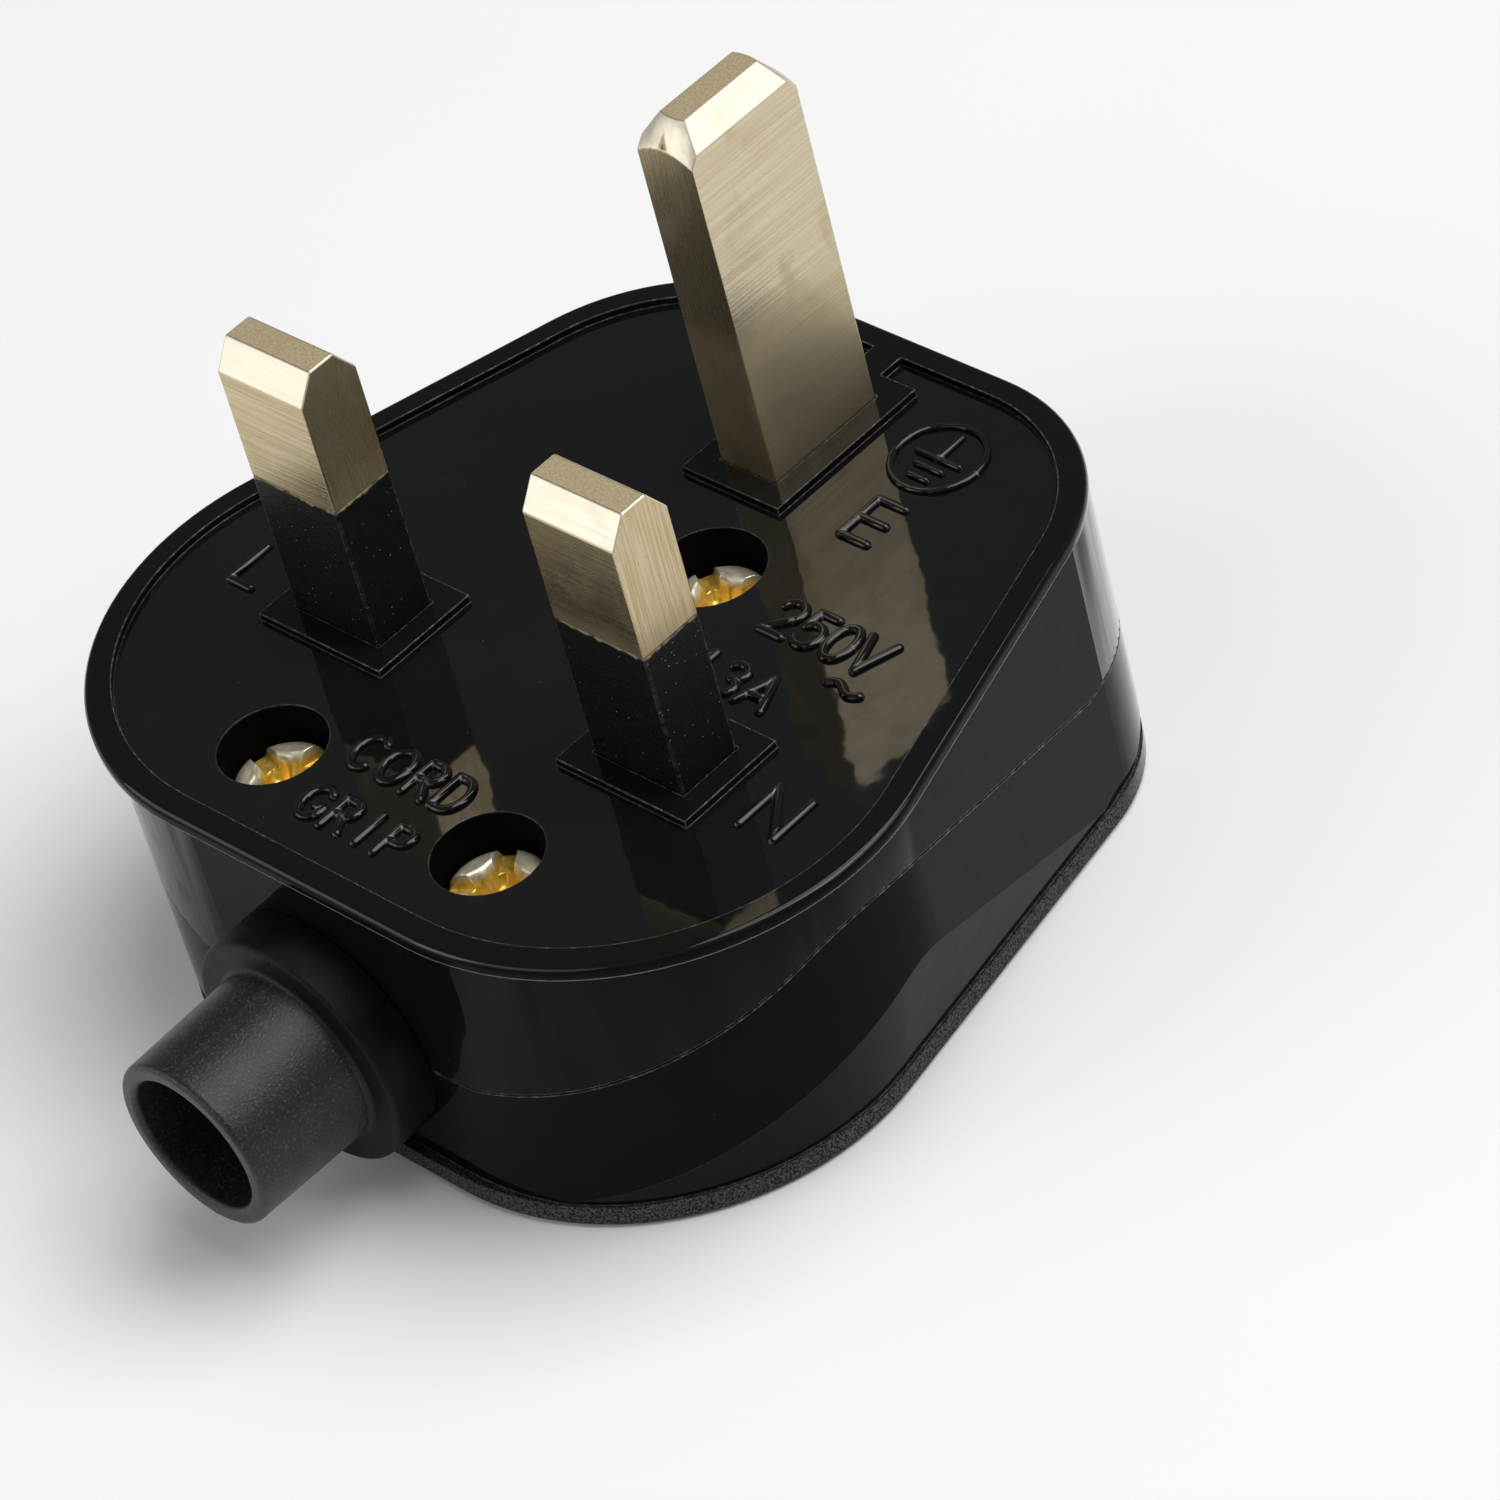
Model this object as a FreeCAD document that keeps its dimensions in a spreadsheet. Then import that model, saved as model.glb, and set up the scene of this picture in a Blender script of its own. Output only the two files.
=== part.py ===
import FreeCAD, Part
import math
import os
import re

import Sketcher
from FreeCAD import Placement, Rotation, Vector

# A rewirable three pin plug. The origin lies on the pin face, midway between the live and neutral pins.
# +Z runs along the pins, +Y to the earth pin and -Y to the cord; the body hangs below the face.
# Lengths are in millimetres and angles in degrees.

SIZES = {
    # Outline of the upright walls, the same for the base and the cover.
    "half_width": 24.1,
    "cord_edge": 16.6,
    "earth_edge": 30.2,
    "cord_corner_radius": 16.4,
    "earth_corner_radius": 9.6,
    "side_slant": 15.6,
    # Lip round the pin face, which overhangs the walls.
    "lip_side": 1.06,
    "lip_cord": 0.31,
    "lip_earth": 0.67,
    "lip_cord_radius": 16.35,
    "lip_earth_radius": 12.12,
    "lip_slant": 16.89,
    "lip_height": 0.8,
    # Depths below the pin face.
    "split_depth": 10.6,
    "body_depth": 19.4,
    "face_thickness": 2.6,
    "field_depth": 0.45,
    "floor_thickness": 2.0,
    "upper_cavity_depth": 12.4,
    # Walls, rim and clearances.
    "wall": 2.0,
    "rim_width": 1.55,
    "rim_radius": 0.4,
    "split_gap": 0.1,
    "fit_gap": 0.05,
    "overshoot": 1.0,
    # Arch of the split line on each side wall.
    "arch_turn": 35.0,
    "arch_peak_y": 0.55,
    "arch_peak_depth": 4.2,
    "arch_peak_radius": 8.7,
    "arch_flank_radius": 104.0,
    "arch_cord_foot": 10.34,
    "arch_earth_foot_x": 18.64,
    "arch_earth_foot_y": 21.6,
    # Finger grips and the textured back.
    "grip_pinch": 1.53,
    "grip_top_depth": 11.3,
    "back_flare": 0.5,
    "back_inset": 0.3,
    "back_corner_radius": 15.44,
    "back_earth_radius": 10.0,
    "back_slant": 9.54,
    "back_band": 1.5,
    "back_step": 0.2,
    "back_edge_radius": 0.5,
    # Pins.
    "line_pin_x": 11.1125,
    "line_pin_width": 6.35,
    "line_pin_thick": 3.98,
    "line_pin_length": 17.7,
    "line_tip_drop": 1.62,
    "line_tip_inset": 1.15,
    "earth_pin_y": 22.225,
    "earth_pin_width": 7.95,
    "earth_pin_thick": 3.98,
    "earth_pin_length": 22.73,
    "earth_tip_drop": 1.4,
    "earth_tip_inset": 1.09,
    "pin_sleeve_top": 9.1,
    "pin_sleeve_foot": 2.0,
    "pin_sleeve_wall": 0.45,
    "line_pad_margin": 1.42,
    "earth_pad_margin": 1.52,
    "earth_tab_half": 1.0,
    # Terminals.
    "line_head": 7.4,
    "earth_head_width": 7.0,
    "earth_head_length": 9.5,
    "head_depth": 7.0,
    "wire_hole_radius": 1.6,
    "wire_hole_depth": 3.0,
    "terminal_screw_radius": 1.45,
    "terminal_screw_reach": 3.0,
    "terminal_screw_head_radius": 2.2,
    "terminal_screw_head_height": 1.5,
    "terminal_slot_width": 0.8,
    "terminal_slot_depth": 0.8,
    "post_width": 1.2,
    # Fuse with its clips.
    "fuse_radius": 3.175,
    "fuse_length": 25.4,
    "fuse_reach": 22.0,
    "fuse_edge": 12.9875,
    "fuse_cap_length": 6.2,
    "fuse_cap_wall": 0.3,
    "foot_thickness": 2.4,
    "clip_sheet": 0.5,
    "clip_width": 6.0,
    "clip_arm_reach": 1.4,
    "clip_bend_radius": 1.0,
    "clip_rivet_radius": 1.2,
    "terminal_pillar_length": 4.4,
    "terminal_pillar_width": 5.8,
    "terminal_pillar_shift": 1.6,
    "terminal_pillar_depth": 6.4,
    # Cord grip and cover screws.
    "grip_screw_x": 7.95,
    "grip_screw_y": 10.0,
    "grip_hole_radius": 3.0,
    "grip_boss_depth": 5.4,
    "cover_screw_x": 3.0,
    "cover_screw_y": 11.85,
    "cover_hole_radius": 3.1,
    "boss_radius": 4.5,
    "screw_sink": 2.5,
    "screw_head_radius": 2.75,
    "screw_head_height": 2.1,
    "screw_shank_radius": 1.6,
    "screw_slot_width": 1.1,
    "screw_slot_depth": 0.7,
    "screw_cross_width": 1.0,
    "screw_cross_length": 3.4,
    "screw_cross_depth": 1.3,
    "grip_screw_end_gap": 0.4,
    "cover_screw_end_gap": 1.0,
    "retainer_radius": 2.7,
    "retainer_height": 1.0,
    "insert_radius": 2.6,
    "insert_floor": 1.2,
    "cover_boss_radius": 4.2,
    # Clamp bar.
    "clamp_half_length": 11.8,
    "clamp_half_width": 3.0,
    "clamp_clearance": 0.8,
    "clamp_thickness": 3.2,
    "clamp_saddle_radius": 6.0,
    "clamp_saddle_sink": 1.0,
    # Barriers inside the base, and the fuse rest inside the cover.
    "barrier_gap": 0.99,
    "barrier_thick": 1.2,
    "barrier_foot": 5.0,
    "barrier_reach": 6.4,
    "live_barrier_length": 20.0,
    "neutral_barrier_length": 11.6,
    "fuse_rest_half": 2.5,
    "fuse_rest_y": 8.6,
    # Cord sleeve.
    "sleeve_end": 27.2,
    "sleeve_bore": 4.05,
    "sleeve_end_radius": 5.1,
    "sleeve_root_radius": 5.25,
    "sleeve_lip_bevel": 0.35,
    "flange_radius": 7.0,
    "flange_thickness": 2.9,
    "flange_bevel": 0.5,
    "collar_radius": 6.2,
    "collar_thickness": 1.4,
}

TINY = 1e-4
WIDE = 80.0
FIRST_RADIUS = 10.0

doc = FreeCAD.newDocument("three_pin_plug")
sheet = doc.addObject("Spreadsheet::Sheet", "sizes")
for row, (alias, number) in enumerate(SIZES.items(), start=1):
    sheet.set("A%d" % row, alias)
    sheet.set("B%d" % row, str(number))
    sheet.setAlias("B%d" % row, alias)
doc.recompute()

parts = []


def cells(text):
    """Turns size names in an expression into references to the sheet."""
    return re.sub(r"[a-z_]+", lambda word: "sizes." + word[0] if word[0] in SIZES else word[0], text)


def bind(thing, name, text):
    """Ties one property to an expression of size names."""
    thing.setExpression(name, cells(text))


def new_body(label):
    """Starts a sub-part that is built from features."""
    body = doc.addObject("PartDesign::Body", label)
    body.Label = label
    parts.append(body)
    return body


def new_sketch(body, name, role="XY_Plane", offset="0", turn=None):
    """Adds a sketch on one of the body's planes, shifted along its normal and turned about the upright."""
    plane = next(f for f in body.Origin.OriginFeatures if f.Role == role)
    sketch = body.newObject("Sketcher::SketchObject", body.Name + "_" + name)
    sketch.AttachmentSupport = [(plane, "")]
    sketch.MapMode = "FlatFace"
    if turn:
        sketch.AttachmentOffset = Placement(Vector(), Rotation(Vector(0, 1, 0), 1))
        bind(sketch, "AttachmentOffset.Rotation.Angle", turn)
    if offset != "0":
        bind(sketch, "AttachmentOffset.Base.z", offset)
    return sketch


def constrain(sketch, text, *terms):
    """Adds a measured constraint whose value follows an expression."""
    index = sketch.addConstraint(Sketcher.Constraint(*terms))
    name = "size_%d" % index
    sketch.renameConstraint(index, name)
    bind(sketch, "Constraints." + name, text)


def fix_point(sketch, shape, point, at, x, y):
    """Holds a point of the sketch at a pair of expressions; at is where it is drawn first."""
    if x == "0":
        sketch.addConstraint(Sketcher.Constraint("PointOnObject", shape, point, -2))
    else:
        constrain(sketch, x, "DistanceX", -1, 1, shape, point, at.x)
    if y == "0":
        sketch.addConstraint(Sketcher.Constraint("PointOnObject", shape, point, -1))
    else:
        constrain(sketch, y, "DistanceY", -1, 1, shape, point, at.y)


def polygon(sketch, *corners):
    """Draws a closed run of lines whose corners are pairs of expressions."""
    count = len(corners)
    first = sketch.GeometryCount
    turns = [2 * math.pi * k / count for k in range(count)]
    ring = [Vector(math.cos(a), math.sin(a), 0) * FIRST_RADIUS for a in turns]
    for k in range(count):
        sketch.addGeometry(Part.LineSegment(ring[k], ring[(k + 1) % count]))
    for k in range(count):
        following = first + (k + 1) % count
        sketch.addConstraint(Sketcher.Constraint("Coincident", first + k, 2, following, 1))
    for k, (x, y) in enumerate(corners):
        fix_point(sketch, first + k, 1, ring[k], x, y)


def rectangle(sketch, left, right, low, high):
    """Draws a rectangle between four expressions."""
    polygon(sketch, (left, low), (right, low), (right, high), (left, high))


def block(sketch, x, y, half_x, half_y):
    """Draws a rectangle about a centre."""
    rectangle(sketch, f"{x} - ({half_x})", f"{x} + {half_x}", f"{y} - ({half_y})", f"{y} + {half_y}")


def circle(sketch, x, y, radius):
    """Draws a circle about a centre."""
    at = Vector(1, 1, 0)
    index = sketch.addGeometry(Part.Circle(at, Vector(0, 0, 1), 2))
    fix_point(sketch, index, 3, at, x, y)
    constrain(sketch, radius, "Radius", index, 2.0)


def feature(body, kind, sketch, name, length, reverse=False, taper=None):
    """Pads or pockets a sketch by an expression."""
    made = body.newObject("PartDesign::" + kind, body.Name + "_" + name)
    made.Profile = sketch
    made.Reversed = reverse
    bind(made, "Length", length)
    if taper:
        bind(made, "TaperAngle", taper)
    sketch.Visibility = False
    return made


def pad(body, sketch, name, length, up=True, taper=None):
    """Adds a prism along the sketch's normal, or against it."""
    return feature(body, "Pad", sketch, name, length, not up, taper)


def pocket(body, sketch, name, length, up=False):
    """Cuts a prism against the sketch's normal, or along it."""
    return feature(body, "Pocket", sketch, name, length, up)


def turned(body, sketch, kind, name, axis):
    """Adds or cuts a full turn of a sketch about one of its own axes."""
    made = body.newObject("PartDesign::" + kind, body.Name + "_" + name)
    made.Profile = sketch
    made.ReferenceAxis = (sketch, [axis])
    made.Angle = 360
    return made


def rounded(body, base, name, radius, chosen):
    """Rounds the edges of a feature that a test picks out."""
    doc.recompute()
    edges = ["Edge%d" % (k + 1) for k, edge in enumerate(base.Shape.Edges) if chosen(edge)]
    fillet = body.newObject("PartDesign::Fillet", body.Name + "_" + name)
    fillet.Base = (base, edges)
    bind(fillet, "Radius", radius)
    return fillet


def level(height):
    """Makes a test for edges that lie wholly at one height."""
    def chosen(edge):
        box = edge.BoundBox
        return abs(box.ZMin - height) < TINY and abs(box.ZMax - height) < TINY
    return chosen


def place(thing, x="0", y="0", z="0"):
    """Ties where a sub-part stands to expressions."""
    for axis, text in zip("xyz", (x, y, z)):
        bind(thing, "Placement.Base." + axis, text)


FUSE_AXIS = "(face_thickness + foot_thickness + clip_sheet + fuse_radius)"
FUSE_X = "(half_width - fuse_edge)"
SCREW_SEAT = "(screw_sink + screw_head_height)"
INSERT_LENGTH = "(body_depth - floor_thickness - insert_floor - split_depth)"

WALL_OUTLINE = {
    "half": "half_width",
    "cord": "cord_edge",
    "earth": "earth_edge",
    "cord_round": "cord_corner_radius",
    "earth_round": "earth_corner_radius",
    "slant": "side_slant",
}
LIP_OUTLINE = {
    "half": "half_width + lip_side",
    "cord": "cord_edge + lip_cord",
    "earth": "earth_edge + lip_earth",
    "cord_round": "lip_cord_radius",
    "earth_round": "lip_earth_radius",
    "slant": "lip_slant",
}
BACK_OUTLINE = {
    "half": "half_width - grip_pinch",
    "cord": "cord_edge + back_flare",
    "earth": "earth_edge - back_inset",
    "cord_round": "back_corner_radius",
    "earth_round": "back_earth_radius",
    "slant": "back_slant",
}


def number_of(text):
    """Adds and subtracts the named sizes of a plain sum."""
    words = text.split()
    total = SIZES[words[0]]
    for sign, word in zip(words[1::2], words[2::2]):
        total += SIZES[word] if sign == "+" else -SIZES[word]
    return total


def outline(sketch, shape, inset=None):
    """Draws the rounded outline, pulled in by a named inset: wide at the cord, narrow at the earth pin."""
    less = " - " + inset if inset else ""
    names = ("half", "cord", "earth", "cord_round", "earth_round")
    half, cord, earth, cord_round, earth_round = (shape[name] + less for name in names)
    slant = math.radians(SIZES[shape["slant"]])
    r_cord = number_of(cord_round)
    r_earth = number_of(earth_round)
    x_cord = number_of(half) - r_cord
    y_low = -number_of(cord)
    y_high = number_of(earth)
    normal = Vector(math.cos(slant), math.sin(slant), 0)
    c_cord = Vector(x_cord, y_low + r_cord, 0)
    reach = normal.dot(c_cord) + r_cord - r_earth
    c_earth = Vector((reach - normal.y * (y_high - r_earth)) / normal.x, y_high - r_earth, 0)

    def arc(center, radius, start, end):
        return Part.ArcOfCircle(Part.Circle(center, Vector(0, 0, 1), radius), start, end)

    def flip(v):
        return Vector(-v.x, v.y, 0)

    quarter = math.pi / 2
    arcs = [
        arc(c_cord, r_cord, -quarter, slant),
        arc(c_earth, r_earth, slant, quarter),
        arc(flip(c_earth), r_earth, quarter, math.pi - slant),
        arc(flip(c_cord), r_cord, math.pi - slant, 3 * quarter),
    ]
    first = sketch.GeometryCount
    for k in range(4):
        start = arcs[k - 1].EndPoint
        sketch.addGeometry(Part.LineSegment(start, arcs[k].StartPoint))
        sketch.addGeometry(arcs[k])
    for k in range(8):
        sketch.addConstraint(Sketcher.Constraint("Tangent", first + k, 2, first + (k + 1) % 8, 1))
    cord_line, cord_arc, side_line, earth_arc = range(first, first + 4)
    earth_line, left_earth, left_side, left_cord = range(first + 4, first + 8)
    sketch.addConstraint(Sketcher.Constraint("Horizontal", cord_line))
    sketch.addConstraint(Sketcher.Constraint("Horizontal", earth_line))
    sketch.addConstraint(Sketcher.Constraint("Equal", cord_arc, left_cord))
    sketch.addConstraint(Sketcher.Constraint("Equal", earth_arc, left_earth))
    constrain(sketch, cord_round, "Radius", cord_arc, r_cord)
    constrain(sketch, earth_round, "Radius", earth_arc, r_earth)
    constrain(sketch, cord, "DistanceY", cord_line, 1, -1, 1, -y_low)
    constrain(sketch, earth, "DistanceY", -1, 1, earth_line, 1, y_high)
    across = f"{half} - ({cord_round})"
    constrain(sketch, across, "DistanceX", -1, 1, cord_arc, 3, x_cord)
    constrain(sketch, across, "DistanceX", left_cord, 3, -1, 1, x_cord)
    constrain(sketch, f"90 + {shape['slant']}", "Angle", side_line, quarter + slant)
    constrain(sketch, f"-90 - {shape['slant']}", "Angle", left_side, -quarter - slant)


def arch(sketch, gap=None):
    """Draws the split line's arch as a side wall shows it: hollow flank, round peak, straight flank."""
    turn = math.radians(SIZES["arch_turn"])
    sine = math.sin(turn)
    cosine = math.cos(turn)
    less_gap = " - " + gap if gap else ""
    plus_gap = " + " + gap if gap else ""
    drop = SIZES[gap] if gap else 0.0
    r_flank = SIZES["arch_flank_radius"] + drop
    r_peak = SIZES["arch_peak_radius"] - drop
    low = -SIZES["split_depth"] - drop
    peak_z = SIZES["arch_peak_depth"] + SIZES["arch_peak_radius"]
    peak = Vector(SIZES["half_width"] * sine - SIZES["arch_peak_y"] * cosine, -peak_z, 0)
    start = Vector(SIZES["arch_cord_foot"] * sine - SIZES["cord_edge"] * cosine, low, 0)
    end = Vector(SIZES["arch_earth_foot_x"] * sine + SIZES["arch_earth_foot_y"] * cosine, low, 0)

    # The hollow flank's circle passes the cord foot and touches the peak's circle from outside.
    span = peak - start
    along = (r_flank ** 2 - (r_flank + r_peak) ** 2 + span.Length ** 2) / (2 * span.Length)
    aside = math.sqrt(r_flank ** 2 - along ** 2)
    unit = span / span.Length
    flank = start + unit * along + Vector(-unit.y, unit.x, 0) * aside
    # The straight flank runs from the earth foot and touches the peak's circle.
    slope = end - peak
    lean = math.atan2(slope.y, slope.x) + math.acos(r_peak / slope.Length)
    touch = peak + Vector(math.cos(lean), math.sin(lean), 0) * r_peak
    join = math.atan2(flank.y - peak.y, flank.x - peak.x)
    foot = math.atan2(start.y - flank.y, start.x - flank.x)

    up = Vector(0, 0, 1)
    sketch.addGeometry(Part.LineSegment(end, touch))
    sketch.addGeometry(Part.ArcOfCircle(Part.Circle(peak, up, r_peak), lean, join))
    sketch.addGeometry(Part.ArcOfCircle(Part.Circle(flank, up, r_flank), foot, join - math.pi))
    sketch.addGeometry(Part.LineSegment(start, end))
    sketch.addConstraint(Sketcher.Constraint("Tangent", 0, 2, 1, 1))
    sketch.addConstraint(Sketcher.Constraint("Tangent", 1, 2, 2, 2))
    sketch.addConstraint(Sketcher.Constraint("Coincident", 2, 1, 3, 1))
    sketch.addConstraint(Sketcher.Constraint("Coincident", 3, 2, 0, 1))
    sketch.addConstraint(Sketcher.Constraint("Horizontal", 3))
    constrain(sketch, "arch_peak_radius" + less_gap, "Radius", 1, r_peak)
    constrain(sketch, "arch_flank_radius" + plus_gap, "Radius", 2, r_flank)
    sine_text = "sin(arch_turn * 1 deg)"
    cosine_text = "cos(arch_turn * 1 deg)"
    fix_point(sketch, 1, 3, peak, f"half_width * {sine_text} - arch_peak_y * {cosine_text}",
              "-1 * (arch_peak_depth + arch_peak_radius)")
    fix_point(sketch, 3, 1, start, f"arch_cord_foot * {sine_text} - cord_edge * {cosine_text}",
              "-1 * split_depth" + less_gap)
    constrain(sketch, f"arch_earth_foot_x * {sine_text} + arch_earth_foot_y * {cosine_text}",
              "DistanceX", -1, 1, 3, 2, end.x)


def arch_turns():
    """The bearing of each side's arch, and whether its outside lies along the sketch's normal."""
    return (("right", "90 - arch_turn", True), ("left", "90 + arch_turn", False))


# Base

def make_base():
    """The moulded half with the pin face and its overhanging lip."""
    body = new_body("base")
    sketch = new_sketch(body, "wall_outline")
    outline(sketch, WALL_OUTLINE)
    pad(body, sketch, "shell", "split_depth", up=False)
    sketch = new_sketch(body, "lip_outline")
    outline(sketch, LIP_OUTLINE)
    lip = pad(body, sketch, "lip", "lip_height", up=False)
    rounded(body, lip, "rim", "rim_radius", level(0.0))

    sketch = new_sketch(body, "cavity_outline", offset="-1 * split_depth")
    outline(sketch, WALL_OUTLINE, "wall")
    pocket(body, sketch, "cavity", "split_depth - face_thickness", up=True)
    for side, turn, outward in arch_turns():
        sketch = new_sketch(body, side + "_arch", "XZ_Plane", turn=turn)
        arch(sketch)
        pocket(body, sketch, side + "_arch_cut", "half_width + cord_edge", up=outward)

    sketch = new_sketch(body, "field_outline")
    outline(sketch, LIP_OUTLINE, "rim_width")
    for sign in ("-1 *", "1 *"):
        block(sketch, f"{sign} line_pin_x", "0", "(line_pin_width / 2 + line_pad_margin)",
              "(line_pin_thick / 2 + line_pad_margin)")
    block(sketch, "0", "earth_pin_y", "(earth_pin_thick / 2 + earth_pad_margin)",
          "(earth_pin_width / 2 + earth_pad_margin)")
    pocket(body, sketch, "field", "field_depth")
    sketch = new_sketch(body, "tab_outline", offset="-1 * face_thickness / 2")
    rectangle(sketch, "-1 * earth_tab_half", "earth_tab_half", "earth_pin_y + earth_pin_width / 2",
              "earth_edge + lip_earth - rim_width")
    pad(body, sketch, "tab", "face_thickness / 2")

    sketch = new_sketch(body, "boss_outline", offset="-1 * face_thickness / 2")
    for sign in ("-1 *", "1 *"):
        circle(sketch, f"{sign} grip_screw_x", "-1 * grip_screw_y", "boss_radius")
    pad(body, sketch, "grip_bosses", "grip_boss_depth - face_thickness / 2", up=False)
    sketch = new_sketch(body, "cover_boss_outline", offset="-1 * face_thickness / 2")
    circle(sketch, "cover_screw_x", "cover_screw_y", "boss_radius")
    pad(body, sketch, "cover_boss", "split_depth - face_thickness / 2", up=False)
    sketch = new_sketch(body, "barrier_outline", offset="-1 * face_thickness / 2")
    live_side = f"{FUSE_X} - fuse_radius - fit_gap - clip_sheet - barrier_gap"
    neutral_side = "line_pin_x - line_head / 2 - barrier_gap"
    rectangle(sketch, f"-1 * ({live_side})", f"-1 * ({live_side} - barrier_thick)", "-1 * barrier_foot",
              "live_barrier_length - barrier_foot")
    rectangle(sketch, f"{neutral_side} - barrier_thick", neutral_side, "-1 * barrier_foot",
              "neutral_barrier_length - barrier_foot")
    pad(body, sketch, "barriers", "barrier_reach + face_thickness / 2", up=False)

    sketch = new_sketch(body, "pin_hole_outline")
    for sign in ("-1 *", "1 *"):
        block(sketch, f"{sign} line_pin_x", "0", "(line_pin_width / 2 + fit_gap)",
              "(line_pin_thick / 2 + fit_gap)")
    block(sketch, "0", "earth_pin_y", "(earth_pin_thick / 2 + fit_gap)", "(earth_pin_width / 2 + fit_gap)")
    pocket(body, sketch, "pin_holes", "split_depth")

    sketch = new_sketch(body, "head_hole_outline")
    for sign in ("-1 *", "1 *"):
        circle(sketch, f"{sign} grip_screw_x", "-1 * grip_screw_y", "grip_hole_radius")
    circle(sketch, "cover_screw_x", "cover_screw_y", "cover_hole_radius")
    pocket(body, sketch, "head_holes", SCREW_SEAT)
    sketch = new_sketch(body, "shank_hole_outline")
    for sign in ("-1 *", "1 *"):
        circle(sketch, f"{sign} grip_screw_x", "-1 * grip_screw_y", "screw_shank_radius + fit_gap")
    circle(sketch, "cover_screw_x", "cover_screw_y", "screw_shank_radius + fit_gap")
    pocket(body, sketch, "shank_holes", "split_depth + overshoot")
    sketch = new_sketch(body, "retainer_outline", offset="-1 * split_depth")
    circle(sketch, "cover_screw_x", "cover_screw_y", "retainer_radius + fit_gap")
    pocket(body, sketch, "retainer_seat", "retainer_height + fit_gap", up=True)

    sketch = new_sketch(body, "cord_hole_outline", "XZ_Plane", offset="cord_edge + overshoot")
    circle(sketch, "0", "-1 * split_depth", "sleeve_root_radius + fit_gap")
    pocket(body, sketch, "cord_hole", "wall + 2 * overshoot")


# Cover

def make_cover():
    """The moulded half with the arched cheeks, the finger grips and the textured back."""
    body = new_body("cover")
    band_top = "(body_depth - back_band)"
    sketch = new_sketch(body, "wall_outline", offset=f"-1 * {band_top}")
    outline(sketch, WALL_OUTLINE)
    pad(body, sketch, "wall", f"{band_top} - split_depth - split_gap")
    for side, turn, outward in arch_turns():
        sketch = new_sketch(body, side + "_arch", "XZ_Plane", turn=turn)
        arch(sketch, "split_gap")
        pad(body, sketch, side + "_cheek", "half_width + cord_edge", up=outward)
    sketch = new_sketch(body, "trim_outline")
    outline(sketch, WALL_OUTLINE)
    block(sketch, "0", "0", f"{WIDE}", f"{WIDE}")
    pocket(body, sketch, "trim", "body_depth")

    # The finger grips are where a tapered form, narrow at the back, leaves the upright walls.
    form = doc.addObject("PartDesign::Body", "grip_form")
    sketch = new_sketch(form, "outline", offset=f"-1 * {band_top}")
    outline(sketch, BACK_OUTLINE, "back_step")
    grip_lean = f"atan((grip_pinch + back_step) / ({band_top} - grip_top_depth))"
    pad(form, sketch, "taper", band_top, taper=grip_lean)
    grips = body.newObject("PartDesign::Boolean", "cover_grips")
    grips.setObjects([form])
    grips.Type = "Common"

    sketch = new_sketch(body, "back_outline", offset=f"-1 * {band_top}")
    outline(sketch, BACK_OUTLINE)
    back = pad(body, sketch, "back", "back_band", up=False)
    rounded(body, back, "back_edge", "back_edge_radius", level(-SIZES["body_depth"]))

    sketch = new_sketch(body, "upper_cavity_outline")
    outline(sketch, WALL_OUTLINE, "wall")
    pocket(body, sketch, "upper_cavity", "upper_cavity_depth")
    sketch = new_sketch(body, "lower_cavity_outline", offset="-1 * split_depth")
    outline(sketch, BACK_OUTLINE, "wall")
    pocket(body, sketch, "lower_cavity", "body_depth - floor_thickness - split_depth")

    inside = "-1 * (body_depth - floor_thickness / 2)"
    from_floor = "body_depth - floor_thickness / 2"
    sketch = new_sketch(body, "boss_outline", offset=inside)
    circle(sketch, "cover_screw_x", "cover_screw_y", "cover_boss_radius")
    pad(body, sketch, "boss", f"{from_floor} - split_depth")
    sketch = new_sketch(body, "insert_outline", offset="-1 * split_depth")
    circle(sketch, "cover_screw_x", "cover_screw_y", "insert_radius")
    pocket(body, sketch, "insert_hole", INSERT_LENGTH)
    sketch = new_sketch(body, "post_outline", offset=inside)
    rectangle(sketch, "line_pin_x + line_head / 2 - post_width", "line_pin_x + line_head / 2",
              "-1 * line_head / 2", "line_head / 2")
    rectangle(sketch, "-1 * earth_head_width / 2", "earth_head_width / 2",
              "earth_pin_y + earth_head_length / 2 - post_width", "earth_pin_y + earth_head_length / 2")
    pad(body, sketch, "posts", f"{from_floor} - face_thickness - head_depth")
    sketch = new_sketch(body, "rest_outline", offset=inside)
    block(sketch, f"-1 * {FUSE_X}", "fuse_rest_y", "fuse_rest_half", "(post_width / 2)")
    pad(body, sketch, "fuse_rest", f"{from_floor} - {FUSE_AXIS} - fuse_radius + fuse_cap_wall")

    sketch = new_sketch(body, "cord_hole_outline", "XZ_Plane", offset="cord_edge + overshoot")
    circle(sketch, "0", "-1 * split_depth", "sleeve_root_radius + fit_gap")
    pocket(body, sketch, "cord_hole", "wall + 2 * overshoot")


# Pins and their insulating sleeves

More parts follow.
